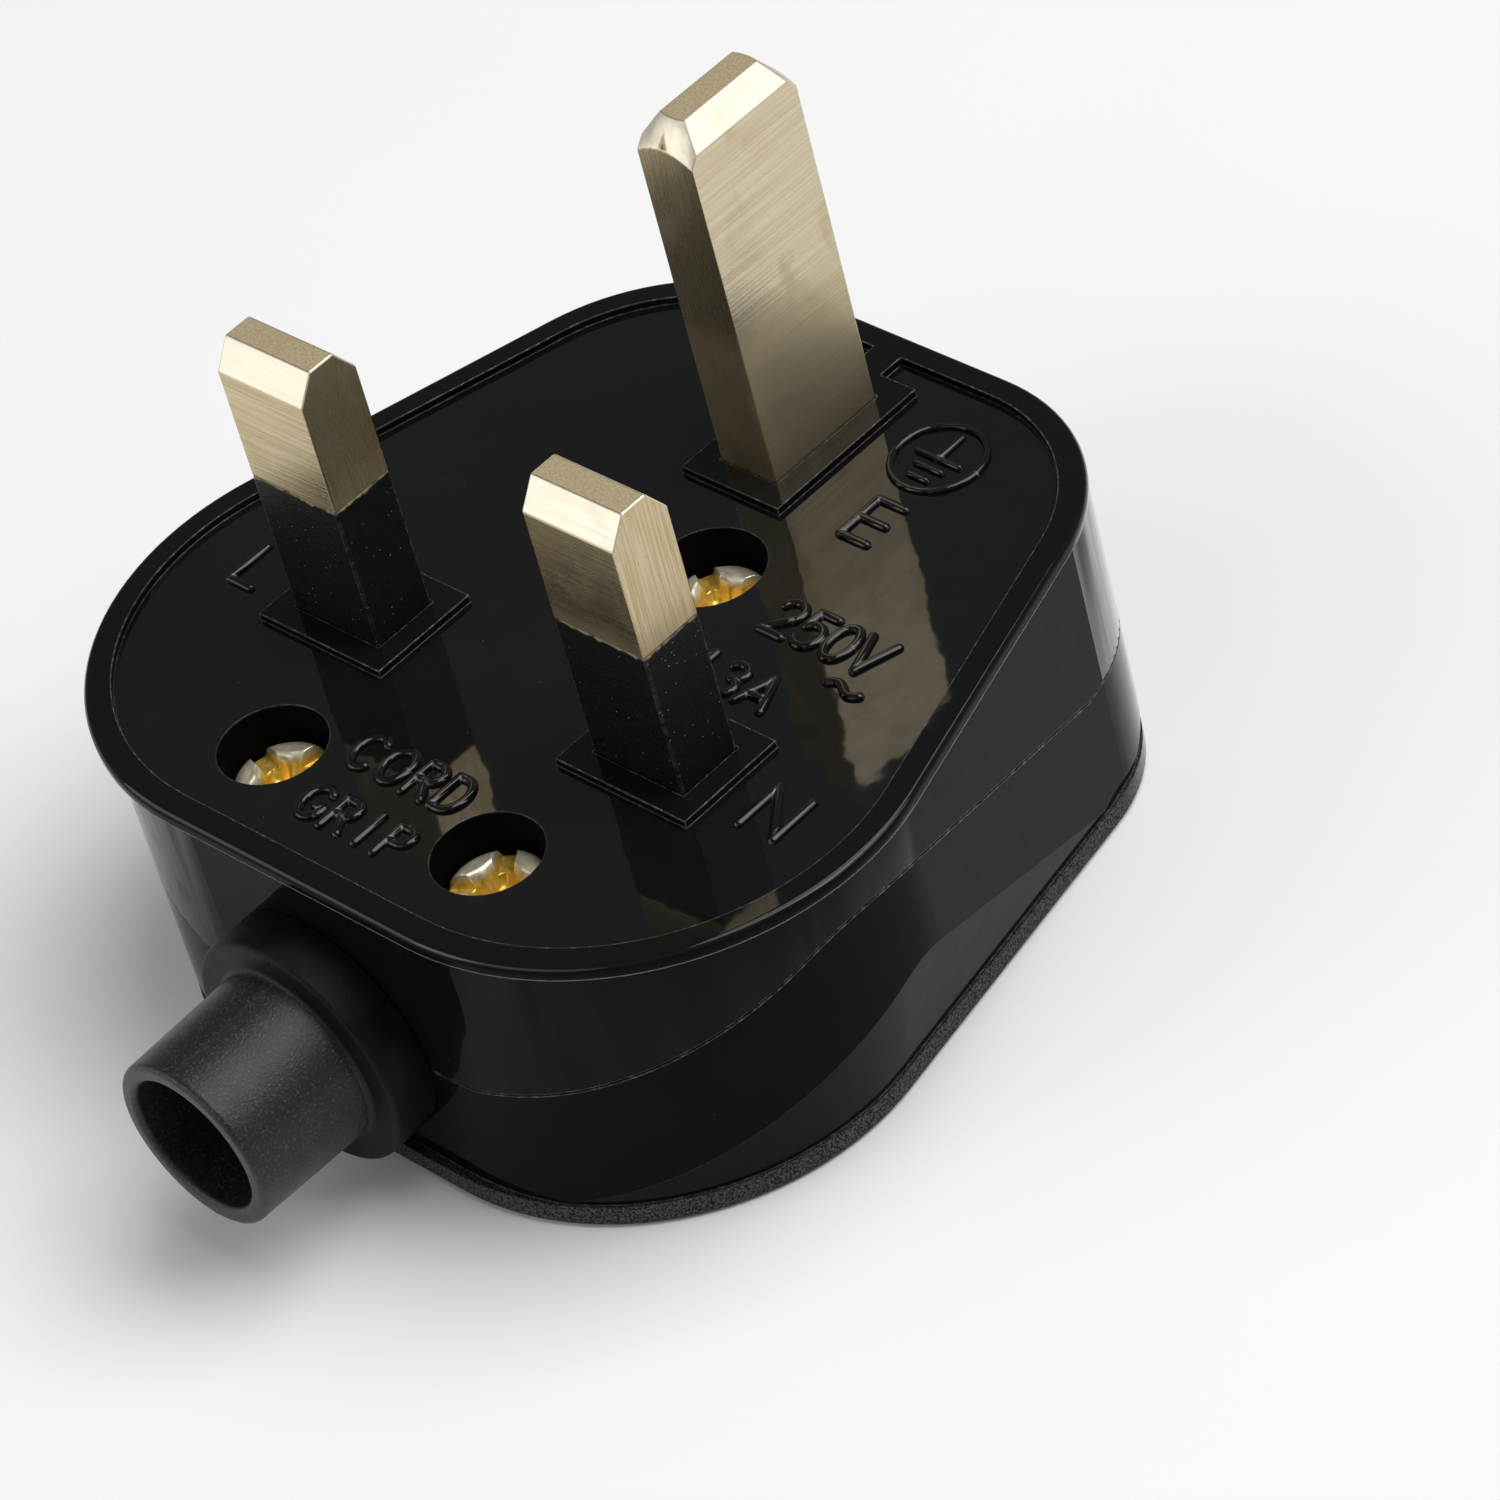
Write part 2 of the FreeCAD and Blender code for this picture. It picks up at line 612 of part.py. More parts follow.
def line_shank(body):
    """The flat blade of a live or neutral pin, chamfered at its tip and drawn in under its sleeve."""
    half = "line_pin_thick / 2"
    sketch = new_sketch(body, "blade_side", "YZ_Plane", offset="-1 * line_pin_width / 2")
    polygon(sketch, (f"-1 * {half}", "-1 * face_thickness"), (half, "-1 * face_thickness"),
            (half, "line_pin_length - line_tip_drop"), (f"{half} - line_tip_inset", "line_pin_length"),
            (f"-1 * ({half} - line_tip_inset)", "line_pin_length"),
            (f"-1 * {half}", "line_pin_length - line_tip_drop"))
    pad(body, sketch, "blade", "line_pin_width")
    sketch = new_sketch(body, "neck_outline", offset="-1 * pin_sleeve_foot")
    block(sketch, "0", "0", "(line_pin_width)", "(line_pin_width)")
    block(sketch, "0", "0",
          "(line_pin_width / 2 - pin_sleeve_wall)", "(line_pin_thick / 2 - pin_sleeve_wall)")
    pocket(body, sketch, "neck", "pin_sleeve_top + pin_sleeve_foot", up=True)


def wire_terminal(body, wire_role, head_low):
    """The cross hole for a wire and the threaded hole of the screw that holds it."""
    sketch = new_sketch(body, "wire_hole_outline", wire_role, offset="-1 * earth_head_length")
    circle(sketch, "0", f"-1 * (face_thickness + wire_hole_depth)", "wire_hole_radius")
    pocket(body, sketch, "wire_hole", "2 * earth_head_length", up=True)
    sketch = new_sketch(body, "screw_hole_outline", offset=f"-1 * ({head_low})")
    circle(sketch, "0", "0", "terminal_screw_radius + fit_gap")
    pocket(body, sketch, "screw_hole", f"{head_low} - face_thickness - wire_hole_depth", up=True)


def make_neutral_pin():
    """Pin with a pillar terminal at its inner end."""
    body = new_body("neutral_pin")
    line_shank(body)
    sketch = new_sketch(body, "head_outline", offset="-1 * face_thickness")
    block(sketch, "0", "0", "(line_head / 2)", "(line_head / 2)")
    pad(body, sketch, "head", "head_depth", up=False)
    wire_terminal(body, "XZ_Plane", "face_thickness + head_depth")
    place(body, x="line_pin_x")


def make_live_pin():
    """Pin with a flat foot and a stub that is riveted into the fuse clip."""
    body = new_body("live_pin")
    line_shank(body)
    aside = f"(line_pin_x - {FUSE_X})"
    sketch = new_sketch(body, "foot_outline", offset="-1 * face_thickness")
    block(sketch, aside, "0", "(line_head / 2)", "(line_head / 2)")
    pad(body, sketch, "foot", "foot_thickness", up=False)
    sketch = new_sketch(body, "stub_outline", offset="-1 * face_thickness")
    circle(sketch, aside, "0", "clip_rivet_radius")
    pad(body, sketch, "stub", "foot_thickness + clip_sheet", up=False)
    place(body, x="-1 * line_pin_x")


def make_earth_pin():
    """The long pin: flat chamfers on its wide faces, a cone on its narrow ones, a pillar terminal inside."""
    body = new_body("earth_pin")
    half = "earth_pin_thick / 2"
    sketch = new_sketch(body, "blade_side", "XZ_Plane", offset="-1 * earth_pin_width / 2")
    polygon(sketch, (f"-1 * {half}", "-1 * face_thickness"), (half, "-1 * face_thickness"),
            (half, "earth_pin_length - earth_tip_drop"), (f"{half} - earth_tip_inset", "earth_pin_length"),
            (f"-1 * ({half} - earth_tip_inset)", "earth_pin_length"),
            (f"-1 * {half}", "earth_pin_length - earth_tip_drop"))
    pad(body, sketch, "blade", "earth_pin_width")
    sketch = new_sketch(body, "cone_side", "YZ_Plane")
    edge = "earth_pin_width / 2"
    polygon(sketch, (f"{edge} - earth_tip_inset", "earth_pin_length"),
            (f"{edge} + 2 * earth_tip_inset", "earth_pin_length"),
            (f"{edge} + 2 * earth_tip_inset", "earth_pin_length - 3 * earth_tip_drop"))
    turned(body, sketch, "Groove", "cone", "V_Axis")
    sketch = new_sketch(body, "head_outline", offset="-1 * face_thickness")
    block(sketch, "0", "0", "(earth_head_width / 2)", "(earth_head_length / 2)")
    pad(body, sketch, "head", "head_depth", up=False)
    wire_terminal(body, "XZ_Plane", "face_thickness + head_depth")
    place(body, y="earth_pin_y")


def make_pin_sleeve(label, x):
    """Insulation round the root of a live or neutral pin, flush with the blade."""
    body = new_body(label)
    sketch = new_sketch(body, "outline", offset="-1 * pin_sleeve_foot")
    block(sketch, "0", "0", "(line_pin_width / 2)", "(line_pin_thick / 2)")
    block(sketch, "0", "0",
          "(line_pin_width / 2 - pin_sleeve_wall)", "(line_pin_thick / 2 - pin_sleeve_wall)")
    pad(body, sketch, "tube", "pin_sleeve_top + pin_sleeve_foot")
    place(body, x=x)


# Screws

def make_terminal_screw(label, x, y, seat):
    """A short slotted screw that is driven from the cover's side."""
    body = new_body(label)
    sketch = new_sketch(body, "half_section", "XZ_Plane")
    polygon(sketch, ("0", "-1 * terminal_screw_head_height"),
            ("terminal_screw_head_radius", "-1 * terminal_screw_head_height"),
            ("terminal_screw_head_radius", "0"),
            ("terminal_screw_radius", "0"), ("terminal_screw_radius", "terminal_screw_reach"),
            ("0", "terminal_screw_reach"))
    turned(body, sketch, "Revolution", "blank", "V_Axis")
    sketch = new_sketch(body, "slot_outline", offset="-1 * terminal_screw_head_height")
    block(sketch, "0", "0", "(2 * terminal_screw_head_radius)", "(terminal_slot_width / 2)")
    pocket(body, sketch, "slot", "terminal_slot_depth", up=True)
    place(body, x, y, f"-1 * ({seat})")


def make_head_screw(label, x, y, end_depth):
    """A screw with a slot and a cross, sunk in the pin face and reaching to a depth below it."""
    body = new_body(label)
    sketch = new_sketch(body, "half_section", "XZ_Plane")
    polygon(sketch, ("0", "0"), ("screw_head_radius", "0"), ("screw_head_radius", "-1 * screw_head_height"),
            ("screw_shank_radius", "-1 * screw_head_height"),
            ("screw_shank_radius", f"screw_sink - ({end_depth})"),
            ("0", f"screw_sink - ({end_depth})"))
    turned(body, sketch, "Revolution", "blank", "V_Axis")
    sketch = new_sketch(body, "slot_outline")
    block(sketch, "0", "0", "(2 * screw_head_radius)", "(screw_slot_width / 2)")
    pocket(body, sketch, "slot", "screw_slot_depth")
    sketch = new_sketch(body, "cross_outline")
    block(sketch, "0", "0", "(screw_cross_width / 2)", "(screw_cross_length / 2)")
    pocket(body, sketch, "cross", "screw_cross_depth")
    sketch = new_sketch(body, "cross_well_outline")
    block(sketch, "0", "0", "(screw_cross_length / 2)", "(screw_cross_width / 2)")
    pocket(body, sketch, "cross_well", "screw_cross_depth")
    place(body, x, y, "-1 * screw_sink")


def make_ring(label, radius, height, bore, top):
    """A plain ring round the cover screw."""
    body = new_body(label)
    sketch = new_sketch(body, "outline")
    circle(sketch, "0", "0", radius)
    circle(sketch, "0", "0", bore)
    pad(body, sketch, "ring", height, up=False)
    place(body, "cover_screw_x", "cover_screw_y", f"-1 * ({top})")


# Fuse, clips and live terminal


def make_fuse_tube():
    """The ceramic body of the cartridge, closed at both ends by its caps."""
    tube = doc.addObject("Part::Cylinder", "fuse_tube")
    tube.Label = "fuse_tube"
    bind(tube, "Radius", "fuse_radius - fuse_cap_wall")
    bind(tube, "Height", "fuse_length - 2 * fuse_cap_wall")
    tube.Placement = Placement(Vector(), Rotation(Vector(1, 0, 0), -90))
    place(tube, f"-1 * {FUSE_X}", "fuse_reach - fuse_length + fuse_cap_wall", f"-1 * {FUSE_AXIS}")
    parts.append(tube)


def make_fuse_cap(label, y, flipped):
    """A drawn metal cup pressed on one end of the tube; its closed end lies at y."""
    body = new_body(label)
    sketch = new_sketch(body, "half_section", "YZ_Plane")
    polygon(sketch, ("0", "0"), ("0", "fuse_radius"), ("fuse_cap_length", "fuse_radius"),
            ("fuse_cap_length", "fuse_radius - fuse_cap_wall"),
            ("fuse_cap_wall", "fuse_radius - fuse_cap_wall"),
            ("fuse_cap_wall", "0"))
    turned(body, sketch, "Revolution", "cup", "H_Axis")
    if flipped:
        body.Placement = Placement(Vector(), Rotation(Vector(0, 0, 1), 180))
    place(body, f"-1 * {FUSE_X}", y, f"-1 * {FUSE_AXIS}")


def make_fuse_clip(label, y):
    """A bent spring clip: its web lies on the brass above, its arms hold the fuse's cap."""
    body = new_body(label)
    inner = "(fuse_radius + fit_gap)"
    outer = "(fuse_radius + fit_gap + clip_sheet)"
    sketch = new_sketch(body, "section", "XZ_Plane", offset="-1 * clip_width / 2")
    polygon(sketch, (f"-1 * {outer}", f"-1 * clip_arm_reach"), (f"-1 * {inner}", f"-1 * clip_arm_reach"),
            (f"-1 * {inner}", "fuse_radius"), (inner, "fuse_radius"), (inner, "-1 * clip_arm_reach"),
            (outer, "-1 * clip_arm_reach"), (outer, "fuse_radius + clip_sheet"),
            (f"-1 * {outer}", "fuse_radius + clip_sheet"))
    web = pad(body, sketch, "sheet", "clip_width")
    reach = SIZES["fuse_radius"] + SIZES["fit_gap"] + SIZES["clip_sheet"]
    top = SIZES["fuse_radius"] + SIZES["clip_sheet"]

    def bend(edge):
        box = edge.BoundBox
        return abs(abs(box.Center.x) - reach) < TINY and abs(box.ZMin - top) < TINY and box.YLength > TINY
    rounded(body, web, "bend", "clip_bend_radius", bend)
    sketch = new_sketch(body, "rivet_outline", offset="fuse_radius")
    circle(sketch, "0", "0", "clip_rivet_radius")
    pocket(body, sketch, "rivet_hole", "clip_sheet", up=True)
    place(body, f"-1 * {FUSE_X}", y, f"-1 * {FUSE_AXIS}")


def make_live_terminal(clip_y):
    """Brass block at the fuse's far end: a foot for the clip, a riveted stub and a pillar for the wire."""
    body = new_body("live_terminal")
    sketch = new_sketch(body, "foot_outline", offset="-1 * face_thickness")
    rectangle(sketch, "-1 * line_head / 2", "line_head / 2", "-1 * clip_width / 2", "clip_width / 2")
    pad(body, sketch, "foot", "foot_thickness", up=False)
    sketch = new_sketch(body, "pillar_outline", offset="-1 * face_thickness")
    rectangle(sketch, "terminal_pillar_shift - terminal_pillar_width / 2",
              "terminal_pillar_shift + terminal_pillar_width / 2", "clip_width / 2 - fit_gap",
              "clip_width / 2 + wire_hole_radius / 2 + terminal_pillar_length")
    pad(body, sketch, "bridge", "foot_thickness", up=False)
    sketch = new_sketch(body, "post_outline", offset="-1 * face_thickness")
    rectangle(sketch, "terminal_pillar_shift - terminal_pillar_width / 2",
              "terminal_pillar_shift + terminal_pillar_width / 2", "clip_width / 2 + wire_hole_radius / 2",
              "clip_width / 2 + wire_hole_radius / 2 + terminal_pillar_length")
    pad(body, sketch, "pillar", "terminal_pillar_depth", up=False)
    sketch = new_sketch(body, "stub_outline", offset="-1 * face_thickness")
    circle(sketch, "0", "0", "clip_rivet_radius")
    pad(body, sketch, "stub", "foot_thickness + clip_sheet", up=False)
    center_y = "clip_width / 2 + wire_hole_radius / 2 + terminal_pillar_length / 2"
    sketch = new_sketch(body, "wire_hole_outline", "YZ_Plane", offset="-1 * line_head")
    circle(sketch, center_y, "-1 * (face_thickness + wire_hole_depth)", "wire_hole_radius")
    pocket(body, sketch, "wire_hole", "2 * line_head + terminal_pillar_width", up=True)
    sketch = new_sketch(body, "screw_hole_outline", offset="-1 * (face_thickness + terminal_pillar_depth)")
    circle(sketch, "terminal_pillar_shift", center_y, "terminal_screw_radius + fit_gap")
    pocket(body, sketch, "screw_hole", "terminal_pillar_depth - wire_hole_depth", up=True)
    place(body, f"-1 * {FUSE_X}", clip_y)
    make_terminal_screw("live_terminal_screw", f"terminal_pillar_shift - {FUSE_X}", f"{clip_y} + {center_y}",
                        "face_thickness + terminal_pillar_depth")


# Cord grip and cord sleeve

def make_clamp_bar():
    """The bar that presses the cord against the base, with a saddle on its upper side."""
    body = new_body("cord_clamp_bar")
    sketch = new_sketch(body, "outline")
    block(sketch, "0", "0", "clamp_half_length", "clamp_half_width")
    pad(body, sketch, "bar", "clamp_thickness", up=False)
    sketch = new_sketch(body, "saddle_outline", "XZ_Plane", offset="-1 * clamp_half_width - overshoot")
    circle(sketch, "0", "clamp_saddle_radius - clamp_saddle_sink", "clamp_saddle_radius")
    pocket(body, sketch, "saddle", "2 * clamp_half_width + 2 * overshoot", up=True)
    sketch = new_sketch(body, "screw_hole_outline")
    for sign in ("-1 *", "1 *"):
        circle(sketch, f"{sign} grip_screw_x", "0", "screw_shank_radius")
    pocket(body, sketch, "screw_holes", "clamp_thickness + overshoot")
    place(body, y="-1 * grip_screw_y", z="clamp_thickness + clamp_clearance + floor_thickness - body_depth")


def make_cord_sleeve():
    """The flanged sleeve that the cord comes out of, held in the wall between flange and inner collar."""
    body = new_body("cord_sleeve")
    outer = "-1 * cord_edge"
    inner = "-1 * (cord_edge - wall - fit_gap)"
    sketch = new_sketch(body, "half_section", "YZ_Plane")
    front = f"{outer} - flange_thickness"
    polygon(sketch, ("-1 * sleeve_end", "sleeve_bore + sleeve_lip_bevel"),
            ("sleeve_lip_bevel - sleeve_end", "sleeve_bore"), (f"{inner} + collar_thickness", "sleeve_bore"),
            (f"{inner} + collar_thickness", "collar_radius"), (inner, "collar_radius"),
            (inner, "sleeve_root_radius"), (outer, "sleeve_root_radius"),
            (outer, "flange_radius - flange_bevel"),
            (f"{outer} - flange_bevel", "flange_radius"), (f"{front} + flange_bevel", "flange_radius"),
            (front, "flange_radius - flange_bevel"), (front, "sleeve_root_radius"),
            ("sleeve_lip_bevel - sleeve_end", "sleeve_end_radius"),
            ("-1 * sleeve_end", "sleeve_end_radius - sleeve_lip_bevel"))
    turned(body, sketch, "Revolution", "tube", "H_Axis")
    place(body, z="-1 * split_depth")


make_base()
make_cover()
make_earth_pin()
make_neutral_pin()
make_live_pin()
make_pin_sleeve("neutral_pin_sleeve", "line_pin_x")
make_pin_sleeve("live_pin_sleeve", "-1 * line_pin_x")
HEAD_SEAT = "face_thickness + head_depth"
make_terminal_screw("earth_terminal_screw", "0", "earth_pin_y", HEAD_SEAT)
make_terminal_screw("neutral_terminal_screw", "line_pin_x", "0", HEAD_SEAT)
CLIP_Y = "fuse_reach - fuse_cap_length / 2"
make_live_terminal(CLIP_Y)
make_fuse_tube()
make_fuse_cap("fuse_cap_pin_side", "fuse_reach - fuse_length", False)
make_fuse_cap("fuse_cap_terminal_side", "fuse_reach", True)
make_fuse_clip("fuse_clip_pin_side", "0")
make_fuse_clip("fuse_clip_terminal_side", CLIP_Y)
GRIP_END = "body_depth - floor_thickness - grip_screw_end_gap"
COVER_END = f"split_depth + {INSERT_LENGTH} - cover_screw_end_gap"
make_head_screw("cord_grip_screw_live_side", "-1 * grip_screw_x", "-1 * grip_screw_y", GRIP_END)
make_head_screw("cord_grip_screw_neutral_side", "grip_screw_x", "-1 * grip_screw_y", GRIP_END)
make_head_screw("cover_screw", "cover_screw_x", "cover_screw_y", COVER_END)
make_ring("cover_screw_retainer", "retainer_radius", "retainer_height", "screw_shank_radius + fit_gap",
          "split_depth - retainer_height - fit_gap")
make_ring("cover_insert", "insert_radius", INSERT_LENGTH, "screw_shank_radius", "split_depth")
make_clamp_bar()
make_cord_sleeve()

doc.recompute()
faults = [thing.Name for thing in doc.Objects if {"Invalid", "Error"} & set(thing.State)]
if faults:
    raise RuntimeError("features that failed: " + ", ".join(faults))
for part in parts:
    if part.Shape.isNull() or not part.Shape.isValid():
        raise RuntimeError("no valid shape: " + part.Label)

os.makedirs("parts", exist_ok=True)
for part in parts:
    part.Shape.exportStep("parts/%s.step" % part.Label)
    print(part.Label, len(part.Shape.Solids), round(part.Shape.Volume, 2))
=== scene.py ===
import math

import bpy
from mathutils import Matrix, Vector


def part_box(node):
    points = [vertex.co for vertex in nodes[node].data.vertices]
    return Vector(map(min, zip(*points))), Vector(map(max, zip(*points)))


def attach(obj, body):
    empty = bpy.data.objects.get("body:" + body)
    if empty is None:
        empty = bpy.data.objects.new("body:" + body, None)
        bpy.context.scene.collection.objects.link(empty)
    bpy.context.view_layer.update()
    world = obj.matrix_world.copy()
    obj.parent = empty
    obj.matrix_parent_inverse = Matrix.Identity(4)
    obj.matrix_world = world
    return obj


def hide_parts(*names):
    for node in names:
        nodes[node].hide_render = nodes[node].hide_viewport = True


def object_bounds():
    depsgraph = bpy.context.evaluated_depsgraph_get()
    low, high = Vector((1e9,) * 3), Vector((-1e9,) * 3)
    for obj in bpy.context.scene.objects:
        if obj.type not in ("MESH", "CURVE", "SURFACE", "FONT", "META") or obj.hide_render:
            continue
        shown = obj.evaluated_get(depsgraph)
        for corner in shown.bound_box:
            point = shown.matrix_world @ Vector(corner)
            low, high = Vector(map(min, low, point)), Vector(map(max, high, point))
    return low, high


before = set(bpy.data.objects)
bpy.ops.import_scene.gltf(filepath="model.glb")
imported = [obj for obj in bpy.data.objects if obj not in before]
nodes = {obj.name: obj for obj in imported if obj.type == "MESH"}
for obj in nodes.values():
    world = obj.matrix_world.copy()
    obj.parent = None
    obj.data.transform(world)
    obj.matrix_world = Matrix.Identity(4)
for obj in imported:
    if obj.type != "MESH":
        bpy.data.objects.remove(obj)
cad_box = [list(corner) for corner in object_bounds()]

# Lengths below are millimetres of the frame, angles are degrees.
MM = 0.001

# Camera that took the view, and the floor under the back of the cover.
CAMERA_PLACE = (216.64, -148.08, 216.92)
CAMERA_AZIMUTH = 53.30
CAMERA_ELEVATION = 40.78
CAMERA_ROLL = 15.72
CAMERA_LENS = 159.28
SENSOR_WIDTH = 36.0
FLOOR_HALF = 3000.0

# Levels and holes that the finishes follow: field, lip, back band, screw holes, pin sleeves.
FIELD_LEVEL = -0.45
LIP_FOOT = -0.8
BACK_BAND_TOP = -17.9
SCREW_HOLES = [(-7.95, -10.0, 3.0), (7.95, -10.0, 3.0), (3.0, 11.85, 3.1)]
SLEEVE_TOP = 9.1

# Raised marks: half-round ridges on the field.
STROKE_RADIUS = 0.29
STROKE_HEIGHT = 0.28
STROKE_SINK = 0.1
STROKE_SIDES = 8
STROKE_END_STEPS = 4
ARC_STEP = 14.0
WAVE_STEPS = 16
WAVE_SHARE = 0.12

# Screw heads with crossed slots round a deep recess, and a threaded shank.
HEAD_HEIGHT = 2.1
HEAD_EDGE_RADIUS = 0.6
HEAD_CHAMFER = 0.1
SHANK_RADIUS = 1.6
SLOT_HALF_WIDTH = 0.5
SLOT_DEPTH = 0.75
RECESS_RADIUS = 1.5
RECESS_TAPER = 0.35
RECESS_DEPTH = 1.35
RECESS_FLUTE = 0.22
RECESS_DRAFT = 0.14
HEAD_RINGS = 60
HEAD_SECTORS = 240
THREAD_PITCH = 0.6
THREAD_DEPTH = 0.28
THREAD_SECTORS = 40
THREAD_STEPS_PER_TURN = 8
THREAD_POINT_TURNS = 2.0
THREAD_POINT_DEPTH = 1.5 * THREAD_DEPTH

# Cord sleeve: a turned rubber form with a mould seam.
SLEEVE_BORE = 4.05
SLEEVE_END_RADIUS = 5.1
SLEEVE_ROOT_RADIUS = 5.25
SLEEVE_LIP_RADIUS = 0.35
SLEEVE_ROOT_FILLET = 0.35
FLANGE_BACK = -19.5
FLANGE_SEAT = -16.6
FLANGE_EDGE_RADIUS = 0.3
SEAT_EDGE_RADIUS = 0.15
COLLAR_SEAT = -14.55
COLLAR_RADIUS = 6.2
SEAM_HEIGHT = 0.05
SEAM_HALF_WIDTH = 0.1
SLEEVE_SECTORS = 160
FILLET_STEPS = 6


# Studio.

def aim(item, target):
    """Turns a lamp at its place so that it shines on the target."""
    item.rotation_euler = (Vector(target) - item.location).to_track_quat("-Z", "Y").to_euler()


def add_camera():
    azimuth = math.radians(CAMERA_AZIMUTH)
    elevation = math.radians(CAMERA_ELEVATION)
    roll = math.radians(CAMERA_ROLL)
    back = Vector((
        math.sin(azimuth) * math.cos(elevation),
        -math.cos(azimuth) * math.cos(elevation),
        math.sin(elevation),
    ))
    side = (-back).cross(Vector((0.0, 0.0, 1.0))).normalized()
    up = side.cross(-back)
    right = side * math.cos(roll) - up * math.sin(roll)
    top = side * math.sin(roll) + up * math.cos(roll)
    turn = Matrix((right, top, back)).transposed().to_4x4()
    lens = bpy.data.cameras.new("camera")
    lens.lens = CAMERA_LENS
    lens.sensor_width = SENSOR_WIDTH
    lens.clip_start = 0.01
    camera = bpy.data.objects.new("camera", lens)
    camera.matrix_world = Matrix.Translation(Vector(CAMERA_PLACE) * MM) @ turn
    bpy.context.scene.collection.objects.link(camera)
    bpy.context.scene.camera = camera


def add_softbox(name, direction, distance, width, height, radiance):
    """A rectangular lamp of an even brightness, aimed at the origin of the frame."""
    lamp = bpy.data.lights.new(name, "AREA")
    lamp.shape = "RECTANGLE"
    lamp.size = width * MM
    lamp.size_y = height * MM
    lamp.energy = radiance * math.pi * width * height * MM * MM
    item = bpy.data.objects.new(name, lamp)
    item.location = Vector(direction).normalized() * distance * MM
    aim(item, (0.0, 0.0, 0.0))
    bpy.context.scene.collection.objects.link(item)


def add_world(grey):
    world = bpy.data.worlds.new("studio")
    world.use_nodes = True
    backdrop = world.node_tree.nodes["Background"]
    backdrop.inputs["Color"].default_value = (grey, grey, grey, 1.0)
    bpy.context.scene.world = world


# Materials.

